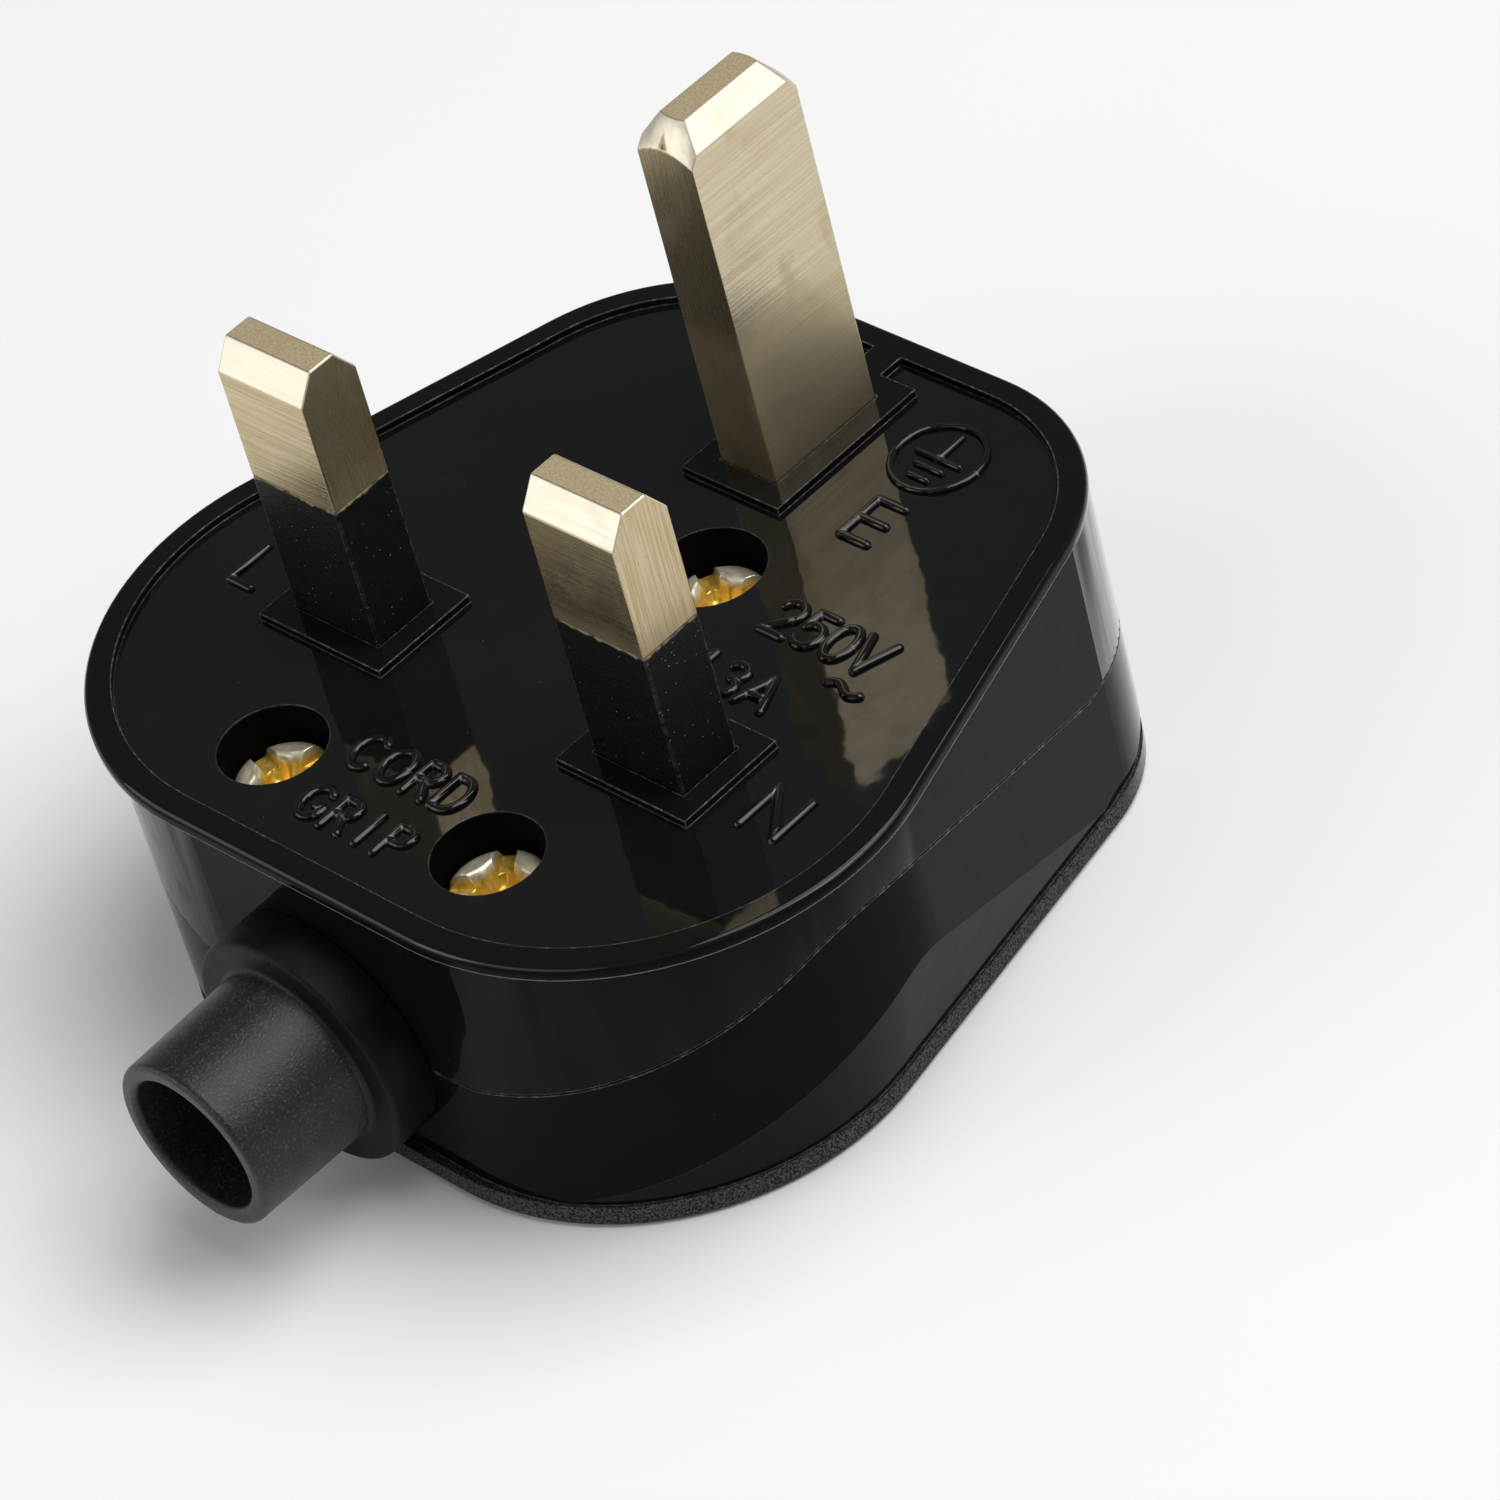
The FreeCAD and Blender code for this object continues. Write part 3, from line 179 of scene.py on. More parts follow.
class Finish:
    """A Principled material whose textures are laid out in millimetres of the frame."""

    def __init__(self, name):
        self.material = bpy.data.materials.new(name)
        self.material.use_nodes = True
        self.nodes = self.material.node_tree.nodes
        self.shader = self.nodes["Principled BSDF"]
        self.relief = None
        place = self.nodes.new("ShaderNodeTexCoord").outputs["Object"]
        self.place = self.vector("MULTIPLY", place, (1000.0, 1000.0, 1000.0))
        self.normal = self.nodes.new("ShaderNodeNewGeometry").outputs["Normal"]

    def feed(self, socket, value):
        if isinstance(value, bpy.types.NodeSocket):
            self.material.node_tree.links.new(value, socket)
        elif isinstance(value, tuple) and len(value) == 3 and socket.type == "RGBA":
            socket.default_value = (*value, 1.0)
        else:
            socket.default_value = value

    def vector(self, operation, first, second=None):
        node = self.nodes.new("ShaderNodeVectorMath")
        node.operation = operation
        self.feed(node.inputs[0], first)
        if second is not None:
            self.feed(node.inputs[1], second)
        return node.outputs["Value" if operation in ("DOT_PRODUCT", "DISTANCE") else "Vector"]

    def math(self, operation, first, second=0.0):
        node = self.nodes.new("ShaderNodeMath")
        node.operation = operation
        self.feed(node.inputs[0], first)
        self.feed(node.inputs[1], second)
        return node.outputs["Value"]

    def times(self, first, second):
        return self.math("MULTIPLY", first, second)

    def plus(self, first, second):
        return self.math("ADD", first, second)

    def minus(self, first, second):
        return self.math("SUBTRACT", first, second)

    def most(self, first, second):
        return self.math("MAXIMUM", first, second)

    def axis(self, vector, letter):
        node = self.nodes.new("ShaderNodeSeparateXYZ")
        self.feed(node.inputs[0], vector)
        return node.outputs[letter]

    def noise(self, per_mm, detail=2.0, stretch=(1.0, 1.0, 1.0), distortion=0.0, seed=0.0):
        """Cloudy noise from 0 to 1 with so many lumps in a millimetre, per axis where stretched."""
        node = self.nodes.new("ShaderNodeTexNoise")
        node.noise_dimensions = "4D"
        where = self.vector("MULTIPLY", self.place, tuple(per_mm * share for share in stretch))
        self.feed(node.inputs["Vector"], where)
        self.feed(node.inputs["W"], seed)
        self.feed(node.inputs["Scale"], 1.0)
        self.feed(node.inputs["Detail"], detail)
        self.feed(node.inputs["Distortion"], distortion)
        return node.outputs["Fac"]

    def specks(self, per_mm, radius, share):
        """Scattered dots: 1 inside a dot, with a share of the cells holding one."""
        node = self.nodes.new("ShaderNodeTexVoronoi")
        where = self.vector("MULTIPLY", self.place, (per_mm, per_mm, per_mm))
        self.feed(node.inputs["Vector"], where)
        self.feed(node.inputs["Scale"], 1.0)
        inside = self.math("LESS_THAN", node.outputs["Distance"], radius)
        chosen = self.math("LESS_THAN", self.axis(node.outputs["Color"], "X"), share)
        return self.times(inside, chosen)

    def span(self, value, low, high, to_low=0.0, to_high=1.0):
        """The value carried from one range to another, held at the ends."""
        node = self.nodes.new("ShaderNodeMapRange")
        node.interpolation_type = "SMOOTHSTEP"
        for name, number in zip(
            ("Value", "From Min", "From Max", "To Min", "To Max"),
            (value, low, high, to_low, to_high),
        ):
            self.feed(node.inputs[name], number)
        return node.outputs["Result"]

    def mix(self, share, first, second):
        node = self.nodes.new("ShaderNodeMix")
        node.data_type = "RGBA"
        self.feed(node.inputs["Factor"], share)
        self.feed(node.inputs[6], first)
        self.feed(node.inputs[7], second)
        return node.outputs[2]

    def edges(self, radius, blunt=0.97, keen=0.80):
        """1 along sharp edges, fading over the radius."""
        node = self.nodes.new("ShaderNodeBevel")
        node.samples = 4
        self.feed(node.inputs["Radius"], radius * MM)
        flat = self.vector("DOT_PRODUCT", node.outputs["Normal"], self.normal)
        return self.span(flat, blunt, keen)

    def bump(self, height, depth):
        """Adds relief: the height from 0 to 1 stands so many millimetres."""
        node = self.nodes.new("ShaderNodeBump")
        self.feed(node.inputs["Height"], height)
        self.feed(node.inputs["Strength"], 1.0)
        self.feed(node.inputs["Distance"], depth * MM)
        if self.relief is not None:
            self.feed(node.inputs["Normal"], self.relief)
        self.relief = node.outputs["Normal"]
        self.feed(self.shader.inputs["Normal"], self.relief)

    def coat(self, colour, roughness, metallic=0.0, specular=0.5):
        self.feed(self.shader.inputs["Base Color"], colour)
        self.feed(self.shader.inputs["Roughness"], roughness)
        self.feed(self.shader.inputs["Metallic"], metallic)
        self.feed(self.shader.inputs["Specular IOR Level"], specular)
        return self.material


def floor_finish():
    look = Finish("floor_paper")
    colour = look.mix(look.noise(0.02), (0.90, 0.90, 0.895), (0.94, 0.94, 0.94))
    look.bump(look.noise(3.0), 0.005)
    return look.coat(colour, look.span(look.noise(0.5), 0.3, 0.7, 0.85, 0.95), specular=0.1)


def body_finish():
    """Wavy glossy black moulding: polished face, sparked texture round the back, matte screw holes painted
    darker as painted shade, and painted highlights along the edges.
    """
    look = Finish("body_black")
    height = look.axis(look.place, "Z")
    band = look.span(height, BACK_BAND_TOP + 0.04, BACK_BAND_TOP - 0.04)
    plan = look.vector("MULTIPLY", look.place, (1.0, 1.0, 0.0))
    holes = 0.0
    for x, y, radius in SCREW_HOLES:
        inside = look.math("LESS_THAN", look.vector("DISTANCE", plan, (x, y, 0.0)), radius + 0.1)
        holes = look.most(holes, inside)
    matt_and_shaded = look.times(holes, look.span(height, FIELD_LEVEL - 0.1, FIELD_LEVEL - 0.3))
    grain = look.noise(8.0, 3.0)
    dust = look.specks(1.6, 0.05, 0.10)
    scuffs = look.noise(0.6, 4.0, (1.0, 6.0, 1.0), 0.6, 3.0)
    off_field = look.math("ABSOLUTE", look.minus(height, FIELD_LEVEL))
    edges = look.times(look.edges(0.14, 0.99, 0.92), look.span(off_field, 0.06, 0.2, 0.4, 1.0))
    # Pale broken marks along the edges: partly nicks in the moulding, partly a painted highlight for the
    # dotted glints on the edges.
    nicks_and_glints = look.times(edges, look.span(look.noise(2.6, 3.0, seed=11.0), 0.45, 0.65))
    # Painted highlight: the edges at the foot of the lip are painted a pale grey, a bright line standing in
    # for the light caught there.
    off_lip = look.math("ABSOLUTE", look.minus(height, LIP_FOOT))
    lip = look.times(edges, look.span(off_lip, 0.2, 0.1))
    colour = look.mix(look.noise(0.35, 3.0), (0.0035, 0.0035, 0.004), (0.006, 0.006, 0.0063))
    # Painted highlight: sharp edges are painted a paler grey, standing in for the thin highlights they
    # catch.
    colour = look.mix(look.times(edges, 0.8), colour, (0.085, 0.085, 0.088))
    colour = look.mix(look.times(nicks_and_glints, 0.6), colour, (0.32, 0.32, 0.31))
    colour = look.mix(look.times(lip, 0.8), colour, (0.50, 0.50, 0.48))
    colour = look.mix(look.times(dust, 0.5), colour, (0.16, 0.16, 0.15))
    sparked = look.mix(look.span(grain, 0.40, 0.62), (0.014, 0.015, 0.016), (0.085, 0.09, 0.094))
    colour = look.mix(band, colour, sparked)
    # Painted shade: the walls of the screw holes below the field are painted darker than the moulding;
    # their rougher, uncoated finish is real.
    colour = look.mix(matt_and_shaded, colour, (0.002, 0.002, 0.002))
    smooth = look.plus(look.span(scuffs, 0.5, 0.75, 0.06, 0.12), look.times(dust, 0.4))
    rough = look.plus(look.times(edges, 0.1), smooth)
    rough = look.most(rough, look.times(band, 0.42))
    rough = look.most(rough, look.times(matt_and_shaded, 0.6))
    look.bump(look.noise(0.40, 1.5, seed=7.0), 0.026)
    look.bump(look.noise(0.9, 1.0, seed=5.0), 0.003)
    look.bump(look.times(grain, band), 0.05)
    polish = look.span(look.axis(look.normal, "Z"), 0.35, 0.75, 0.0, 0.75)
    polish = look.times(polish, look.span(height, -0.12, -0.04, 1.0, 0.5))
    polish = look.most(polish, look.span(look.axis(look.normal, "Y"), 0.15, 0.75))
    look.feed(look.shader.inputs["Coat Weight"], look.times(polish, look.minus(1.0, matt_and_shaded)))
    look.feed(look.shader.inputs["Coat Roughness"], 0.05)
    look.feed(look.shader.inputs["Coat Normal"], look.relief)
    return look.coat(colour, rough, specular=0.03)


def pin_finish(name, wide, pale):
    """Milled brass: cutter lines across the wide faces, drawn grain up the narrow ones, bevels painted pale
    as a painted highlight.
    """
    look = Finish(name)
    up = look.axis(look.normal, "Z")
    on_wide = look.span(look.math("ABSOLUTE", look.axis(look.normal, wide)), 0.55, 0.8)
    on_bevel = look.times(look.span(up, 0.25, 0.40), look.span(up, 0.95, 0.88))
    on_top = look.span(up, 0.93, 0.98)
    lines = look.noise(1.0, 3.0, (0.12, 0.12, 7.0), seed=1.0)
    draw = look.noise(1.0, 3.0, (7.0, 7.0, 0.18), seed=2.0)
    marks = look.plus(look.times(lines, on_wide), look.times(draw, look.minus(1.0, on_wide)))
    stain = look.noise(0.3, 4.0, (1.0, 1.0, 0.6), 0.8, 4.0)
    pits = look.specks(2.4, 0.09, 0.30)
    edges = look.edges(0.15)
    foot = look.span(look.plus(look.axis(look.place, "Z"), look.times(stain, 3.0)), 12.5, 9.5)
    colour = look.mix(look.span(marks, 0.3, 0.7), (0.47, 0.37, 0.20), (0.63, 0.53, 0.35))
    # Painted highlight: the wide faces are painted paler by the share in pale, standing in for the bright
    # washed-out reflection they show.
    colour = look.mix(look.times(on_wide, pale), colour, (0.80, 0.74, 0.60))
    colour = look.mix(look.span(stain, 0.5, 0.75, 0.0, 0.5), colour, (0.43, 0.33, 0.17))
    colour = look.mix(look.times(foot, 0.25), colour, (0.50, 0.38, 0.20))
    colour = look.mix(look.times(pits, 0.5), colour, (0.20, 0.15, 0.08))
    # Painted highlight: the sloping bevel faces are painted a pale, washed-out brass for the glare they
    # catch.
    colour = look.mix(look.times(on_bevel, 0.8), colour, (0.86, 0.80, 0.67))
    colour = look.mix(look.times(edges, 0.7), colour, (0.90, 0.84, 0.68))
    cuts = look.times(marks, look.minus(1.0, look.times(on_bevel, 0.5)))
    look.bump(cuts, 0.009)
    look.bump(pits, -0.015)
    rough = look.plus(look.span(marks, 0.2, 0.8, 0.30, 0.20), look.span(stain, 0.5, 0.8, 0.0, 0.12))
    rough = look.plus(rough, look.times(look.plus(on_top, on_bevel), 0.2))
    rough = look.plus(rough, look.times(foot, 0.15))
    metal = look.minus(1.0, look.times(on_top, 0.55))
    return look.coat(colour, rough, metallic=metal)


def insulation_finish():
    """Black pin sleeving, satin and dusty, rubbed pale along its edges."""
    look = Finish("pin_insulation")
    speck = look.noise(9.0, 3.0)
    rub = look.noise(0.9, 5.0, (1.0, 1.0, 2.5), 0.5, 5.0)
    dust = look.specks(2.6, 0.10, 0.35)
    edges = look.edges(0.22, 0.99, 0.90)
    worn = look.times(edges, look.span(rub, 0.40, 0.65, 0.15, 0.9))
    colour = look.mix(rub, (0.0015, 0.0015, 0.0015), (0.008, 0.008, 0.008))
    colour = look.mix(look.span(speck, 0.60, 0.72, 0.0, 0.5), colour, (0.045, 0.044, 0.040))
    colour = look.mix(look.times(dust, 0.7), colour, (0.28, 0.28, 0.26))
    colour = look.mix(worn, colour, (0.17, 0.165, 0.155))
    torn = look.plus(look.axis(look.place, "Z"), look.times(look.noise(1.7, 3.0, seed=12.0), 0.7))
    bared = look.span(torn, SLEEVE_TOP + 0.20, SLEEVE_TOP + 0.32, 0.0, 0.8)
    colour = look.mix(bared, colour, (0.30, 0.24, 0.14))
    look.bump(speck, 0.02)
    look.bump(rub, 0.02)
    return look.coat(colour, look.span(speck, 0.3, 0.7, 0.28, 0.45), specular=0.15)


def rubber_finish():
    """Soft black cord sleeve: a dusty, finely grained barrel and a plain flange."""
    look = Finish("cord_sleeve_black")
    barrel = look.span(look.axis(look.place, "Y"), FLANGE_BACK + 0.1, FLANGE_BACK - 0.4)
    grain = look.noise(7.0, 3.0)
    bloom = look.noise(0.5, 4.0, (1.0, 1.0, 1.0), 0.4, 9.0)
    edges = look.edges(0.3)
    colour = look.mix(look.span(bloom, 0.35, 0.7), (0.003, 0.003, 0.003), (0.007, 0.007, 0.007))
    dusty = look.mix(look.span(grain, 0.52, 0.70), (0.006, 0.0065, 0.007), (0.045, 0.048, 0.052))
    colour = look.mix(barrel, colour, dusty)
    colour = look.mix(look.times(edges, 0.35), colour, (0.07, 0.07, 0.07))
    look.bump(grain, 0.03)
    look.feed(look.shader.inputs["Coat Weight"], look.times(barrel, 0.6))
    look.feed(look.shader.inputs["Coat Roughness"], 0.42)
    look.feed(look.shader.inputs["Coat Normal"], look.relief)
    return look.coat(colour, look.span(bloom, 0.3, 0.7, 0.42, 0.55), specular=0.12)


def screw_finish():
    """Yellow brass, painted pale on the top of the head as a painted highlight, and deep gold down in the
    recess.
    """
    look = Finish("screw_brass")
    turned = look.noise(1.2, 4.0, seed=2.0)
    tarnish = look.noise(2.4, 4.0, (1.0, 1.0, 1.0), 0.8, 8.0)
    painted_top_highlight = look.span(look.axis(look.place, "Z"), -3.05, -2.70)
    colour = look.mix(look.span(tarnish, 0.35, 0.65), (0.80, 0.50, 0.06), (0.92, 0.66, 0.15))
    # Painted highlight: the top of the head is painted a pale cream for the light it catches.
    colour = look.mix(look.times(painted_top_highlight, 0.9), colour, (0.90, 0.85, 0.66))
    look.bump(turned, 0.03)
    look.bump(look.noise(6.0, 3.0), 0.008)
    return look.coat(colour, look.span(tarnish, 0.3, 0.7, 0.30, 0.46), metallic=0.75)


def sheet_brass_finish(name, bright, dark):
    """Stamped and turned inner brass with handling stains."""
    look = Finish(name)
    roll = look.noise(1.0, 3.0, (0.4, 5.0, 5.0), seed=1.0)
    stain = look.noise(0.45, 4.0, (1.0, 1.0, 1.0), 0.5, 2.0)
    edges = look.edges(0.15)
    colour = look.mix(look.span(stain, 0.35, 0.7), bright, dark)
    colour = look.mix(look.times(edges, 0.5), colour, (0.92, 0.82, 0.58))
    look.bump(roll, 0.006)
    return look.coat(colour, look.span(roll, 0.3, 0.7, 0.22, 0.34), metallic=1.0)


def ceramic_finish():
    look = Finish("fuse_ceramic")
    pores = look.noise(8.0, 3.0)
    cloud = look.noise(0.5, 3.0, seed=3.0)
    colour = look.mix(cloud, (0.74, 0.71, 0.64), (0.82, 0.80, 0.74))
    colour = look.mix(look.span(pores, 0.62, 0.72, 0.0, 0.5), colour, (0.52, 0.49, 0.43))
    look.bump(pores, 0.015)
    return look.coat(colour, look.span(cloud, 0.3, 0.7, 0.38, 0.5))


def cap_finish():
    look = Finish("fuse_cap_metal")
    drawn = look.noise(1.0, 3.0, (6.0, 0.3, 6.0), seed=1.0)
    edges = look.edges(0.2)
    colour = look.mix(drawn, (0.58, 0.57, 0.54), (0.70, 0.69, 0.66))
    colour = look.mix(look.times(edges, 0.5), colour, (0.82, 0.81, 0.79))
    look.bump(drawn, 0.006)
    return look.coat(colour, look.span(drawn, 0.3, 0.7, 0.22, 0.32), metallic=1.0)


def fibre_finish():
    """Pressed dark fibre board."""
    look = Finish("clamp_fibre")
    fibres = look.noise(1.0, 4.0, (1.2, 6.0, 6.0), 0.5, 1.0)
    edges = look.edges(0.25)
    colour = look.mix(look.span(fibres, 0.35, 0.7), (0.085, 0.075, 0.066), (0.12, 0.108, 0.096))
    colour = look.mix(look.times(edges, 0.4), colour, (0.20, 0.19, 0.17))
    look.bump(fibres, 0.02)
    return look.coat(colour, look.span(fibres, 0.3, 0.7, 0.5, 0.65))


# Mesh code.

def smooth_by_angle(mesh, angle):
    mesh.shade_smooth()
    mesh.set_sharp_from_angle(angle=math.radians(angle))


def add_piece(name, vertices, faces, material, stands_for=(), sharp=35.0):
    """A new mesh in frame millimetres that rides on the plug."""
    mesh = bpy.data.meshes.new(name)
    mesh.from_pydata([Vector(v) * MM for v in vertices], [], faces)
    mesh.materials.append(material)
    smooth_by_angle(mesh, sharp)
    piece = bpy.data.objects.new(name, mesh)
    bpy.context.scene.collection.objects.link(piece)
    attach(piece, "root")
    if stands_for:
        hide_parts(*stands_for)


def grid_faces(rows, columns, first=0):
    """Quads between neighbouring rows of vertices, each row closed on itself."""
    faces = []
    for row in range(rows - 1):
        for column in range(columns):
            after = (column + 1) % columns
            low = first + row * columns
            high = low + columns
            faces.append((low + column, low + after, high + after, high + column))
    return faces


def step(edge_low, edge_high, value):
    share = min(max((value - edge_low) / (edge_high - edge_low), 0.0), 1.0)
    return share * share * (3.0 - 2.0 * share)


# Raised marks.

def line(x0, y0, x1, y1):
    return [(x0, y0), (x1, y1)]


def arc(x, y, across, up, start, end):
    """Points along part of an ellipse, angles in degrees from the right."""
    count = max(6, round(abs(end - start) / ARC_STEP))
    angles = [math.radians(start + (end - start) * k / count) for k in range(count + 1)]
    return [(x + across * math.cos(a), y + up * math.sin(a)) for a in angles]


def wave(width):
    return [
        (width * (k / WAVE_STEPS - 0.5), WAVE_SHARE * width * math.sin(2.0 * math.pi * k / WAVE_STEPS))
        for k in range(WAVE_STEPS + 1)
    ]


# Strokes of each sign, one unit high and centred on its own width.
BOWL = arc(0.03, 0.74, 0.27, 0.26, 90, -90)
GLYPHS = {
    "L": [line(-0.28, 1, -0.28, 0), line(-0.28, 0, 0.28, 0)],
    "N": [line(-0.39, 0, -0.39, 1), line(-0.39, 1, 0.39, 0), line(0.39, 0, 0.39, 1)],
    "E": [line(-0.3, 0, -0.3, 1), line(-0.3, 1, 0.3, 1), line(-0.3, 0.5, 0.28, 0.5), line(-0.3, 0, 0.3, 0)],
    "2": [arc(0, 0.72, 0.28, 0.28, 165, -38), line(0.22, 0.55, -0.3, 0), line(-0.3, 0, 0.3, 0)],
    "5": [line(0.27, 1, -0.2, 1), line(-0.2, 1, -0.25, 0.55), arc(0, 0.33, 0.3, 0.33, 138, -145)],
    "0": [arc(0, 0.5, 0.29, 0.5, 0, 360)],
    "V": [line(-0.35, 1, 0, 0), line(0, 0, 0.35, 1)],
    "1": [line(-0.16, 0.78, 0, 1), line(0, 1, 0, 0)],
    "3": [arc(-0.02, 0.75, 0.27, 0.25, 150, -90), arc(-0.02, 0.25, 0.3, 0.25, 90, -150)],
    "A": [line(-0.42, 0, 0, 1), line(0, 1, 0.42, 0), line(-0.26, 0.34, 0.26, 0.34)],
    "C": [arc(0, 0.5, 0.34, 0.5, 48, 312)],
    "O": [arc(0, 0.5, 0.34, 0.5, 0, 360)],
    "R": [
        line(-0.28, 0, -0.28, 1), line(-0.28, 1, 0.03, 1), BOWL,
        line(0.03, 0.48, -0.28, 0.48), line(0.0, 0.48, 0.3, 0),
    ],
    "D": [
        line(-0.3, 0, -0.3, 1), line(-0.3, 1, -0.05, 1),
        arc(-0.05, 0.5, 0.36, 0.5, 90, -90), line(-0.05, 0, -0.3, 0),
    ],
    "G": [arc(0, 0.5, 0.34, 0.5, 48, 340), line(0.34, 0.42, 0.08, 0.42), line(0.34, 0.42, 0.32, 0.2)],
    "I": [line(0, 0, 0, 1)],
    "P": [line(-0.28, 0, -0.28, 1), line(-0.28, 1, 0.03, 1), BOWL, line(0.03, 0.48, -0.28, 0.48)],
}


def written(text, x, baseline, height, pitch=0.0):
    """The strokes of a word, its first sign centred at x and the rest a pitch apart."""
    strokes = []
    for place, sign in enumerate(text):
        for stroke in GLYPHS[sign]:
            strokes.append([(x + place * pitch + height * u, baseline + height * v) for u, v in stroke])
    return strokes


def ridge(path, radius):
    """Rows of vertices for a half-round ridge along a path on the field, with round ends."""
    points = [Vector(p) for p in path]
    closed = (points[0] - points[-1]).length < 1e-6
    stations = []
    last = len(points) - 1
    for k, point in enumerate(points):
        before = points[k - 1] if k else (points[-2] if closed else point)
        after = points[k + 1] if k < last else (points[1] if closed else point)
        stations.append((point, (after - before).normalized(), 1.0))
    if not closed:
        quarter = [math.pi / 2.0 * k / STROKE_END_STEPS for k in range(1, STROKE_END_STEPS)]
        start, end = stations[0], stations[-1]
        for a in quarter:
            reach = radius * math.sin(a)
            stations.insert(0, (start[0] - start[1] * reach, start[1], math.cos(a)))
            stations.append((end[0] + end[1] * reach, end[1], math.cos(a)))
    rows = []
    for point, along, share in stations:
        across = Vector((-along.y, along.x)) * radius * share
        row = [(*(point - across), FIELD_LEVEL - STROKE_SINK)]
        for k in range(STROKE_SIDES + 1):
            a = math.pi * k / STROKE_SIDES
            spot = point - across * math.cos(a)
            row.append((*spot, FIELD_LEVEL + STROKE_HEIGHT * share * math.sin(a)))
        row.append((*(point + across), FIELD_LEVEL - STROKE_SINK))
        rows.append(row)
    return rows


def add_mark(name, strokes, material, radius=STROKE_RADIUS):
    vertices = []
    faces = []
    for stroke in strokes:
        rows = ridge(stroke, radius)
        first = len(vertices)
        columns = len(rows[0])
        faces += grid_faces(len(rows), columns, first)
        faces.append(tuple(first + k for k in range(columns)))
        faces.append(tuple(first + (len(rows) - 1) * columns + k for k in reversed(range(columns))))
        for row in rows:
            vertices += row
    add_piece(name, vertices, faces, material, sharp=60.0)


def add_marks(material):
    add_mark("mark_live", written("L", -18.84, -1.95, 2.85), material)
    add_mark("mark_neutral", written("N", 19.02, -1.80, 3.0), material)
    add_mark("mark_earth", written("E", 8.35, 17.25, 3.1), material)
    ring = arc(8.08, 24.35, 2.62, 2.62, 0, 360)
    bars = [(24.3, 1.45), (23.5, 0.85), (22.65, 0.55)]
    sign = [ring, line(8.12, 24.3, 8.12, 26.2)]
    sign += [line(8.12 - half, y, 8.12 + half, y) for y, half in bars]
    add_mark("mark_earth_sign", sign, material, 0.23)
    rating = written("250V", 9.45, 9.6, 2.5, 1.96) + written("13A", 8.05, 4.85, 2.2, 2.08)
    rating.append([(15.8 + x, 8.3 + y) for x, y in wave(2.2)])
    add_mark("mark_rating", rating, material)
    grip = written("CORD", -2.87, -9.0, 2.35, 2.11) + written("GRIP", -2.64, -13.05, 2.2, 1.97)
    add_mark("mark_cord_grip", grip, material)


# Screws.

def recess(u, v):
    """Depth of the crossed slots and of the fluted recess between them at a place on the screw head."""
    across = min(abs(u), abs(v))
    slot = SLOT_DEPTH * step(SLOT_HALF_WIDTH + RECESS_DRAFT, SLOT_HALF_WIDTH - RECESS_DRAFT, across)
    flute = RECESS_FLUTE * math.cos(4.0 * math.atan2(v, u))
    edge = RECESS_RADIUS + flute
    basin = RECESS_DEPTH * step(edge + RECESS_TAPER, edge - 2.0 * RECESS_TAPER, math.hypot(u, v))
    return max(slot, basin)


def add_screw(node, turn, material):
    """A brass screw in place of its plain solid: recessed head and threaded shank."""
    low, high = (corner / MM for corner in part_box(node))
    centre_x = (low.x + high.x) / 2.0
    centre_y = (low.y + high.y) / 2.0
    radius = (high.x - low.x) / 2.0
    turn = math.radians(turn)
    vertices = []

    def ring(reach, level, sectors=HEAD_SECTORS):
        for k in range(sectors):
            a = 2.0 * math.pi * k / sectors
            x, y = math.cos(a), math.sin(a)
            r = reach(a) if callable(reach) else reach
            z = level(r * x, r * y) if callable(level) else level
            vertices.append((centre_x + r * x, centre_y + r * y, z))

    def face(x, y):
        u = x * math.cos(turn) + y * math.sin(turn)
        v = y * math.cos(turn) - x * math.sin(turn)
        outer = max(math.hypot(x, y) - (radius - HEAD_EDGE_RADIUS), 0.0)
        fall = HEAD_EDGE_RADIUS - math.sqrt(max(HEAD_EDGE_RADIUS ** 2 - outer ** 2, 0.0))
        return high.z - max(fall, recess(u, v))

    for k in range(1, HEAD_RINGS + 1):
        ring(radius * k / HEAD_RINGS, face)
    seat = high.z - HEAD_HEIGHT
    ring(radius, seat + HEAD_CHAMFER)
    ring(radius - HEAD_CHAMFER, seat)
    ring(SHANK_RADIUS, seat)
    rows = len(vertices) // HEAD_SECTORS
    faces = [tuple(reversed(quad)) for quad in grid_faces(rows, HEAD_SECTORS)]
    centre = len(vertices)
    vertices.append((centre_x, centre_y, face(0.0, 0.0)))
    faces += [(k, (k + 1) % HEAD_SECTORS, centre) for k in range(HEAD_SECTORS)]

    first = len(vertices)
    steps = round((seat - low.z) / THREAD_PITCH * THREAD_STEPS_PER_TURN)
    for k in range(steps + 1):
        z = seat - (seat - low.z) * k / steps
        point = step(0.0, THREAD_POINT_TURNS * THREAD_PITCH, z - low.z)

        def crest(a, z=z, point=point):
            phase = (z / THREAD_PITCH + a / (2.0 * math.pi)) % 1.0
            groove = THREAD_DEPTH * abs(2.0 * phase - 1.0)
            return SHANK_RADIUS - max(groove, THREAD_POINT_DEPTH * (1.0 - point))

        ring(crest, z, THREAD_SECTORS)
    faces += [tuple(reversed(quad)) for quad in grid_faces(steps + 1, THREAD_SECTORS, first)]
    tip = first + steps * THREAD_SECTORS
    faces.append(tuple(tip + k for k in reversed(range(THREAD_SECTORS))))
    faces.append(tuple(first + k for k in range(THREAD_SECTORS)))
    add_piece(f"{node}_turned", vertices, faces, material, [node], 50.0)


# Cord sleeve.

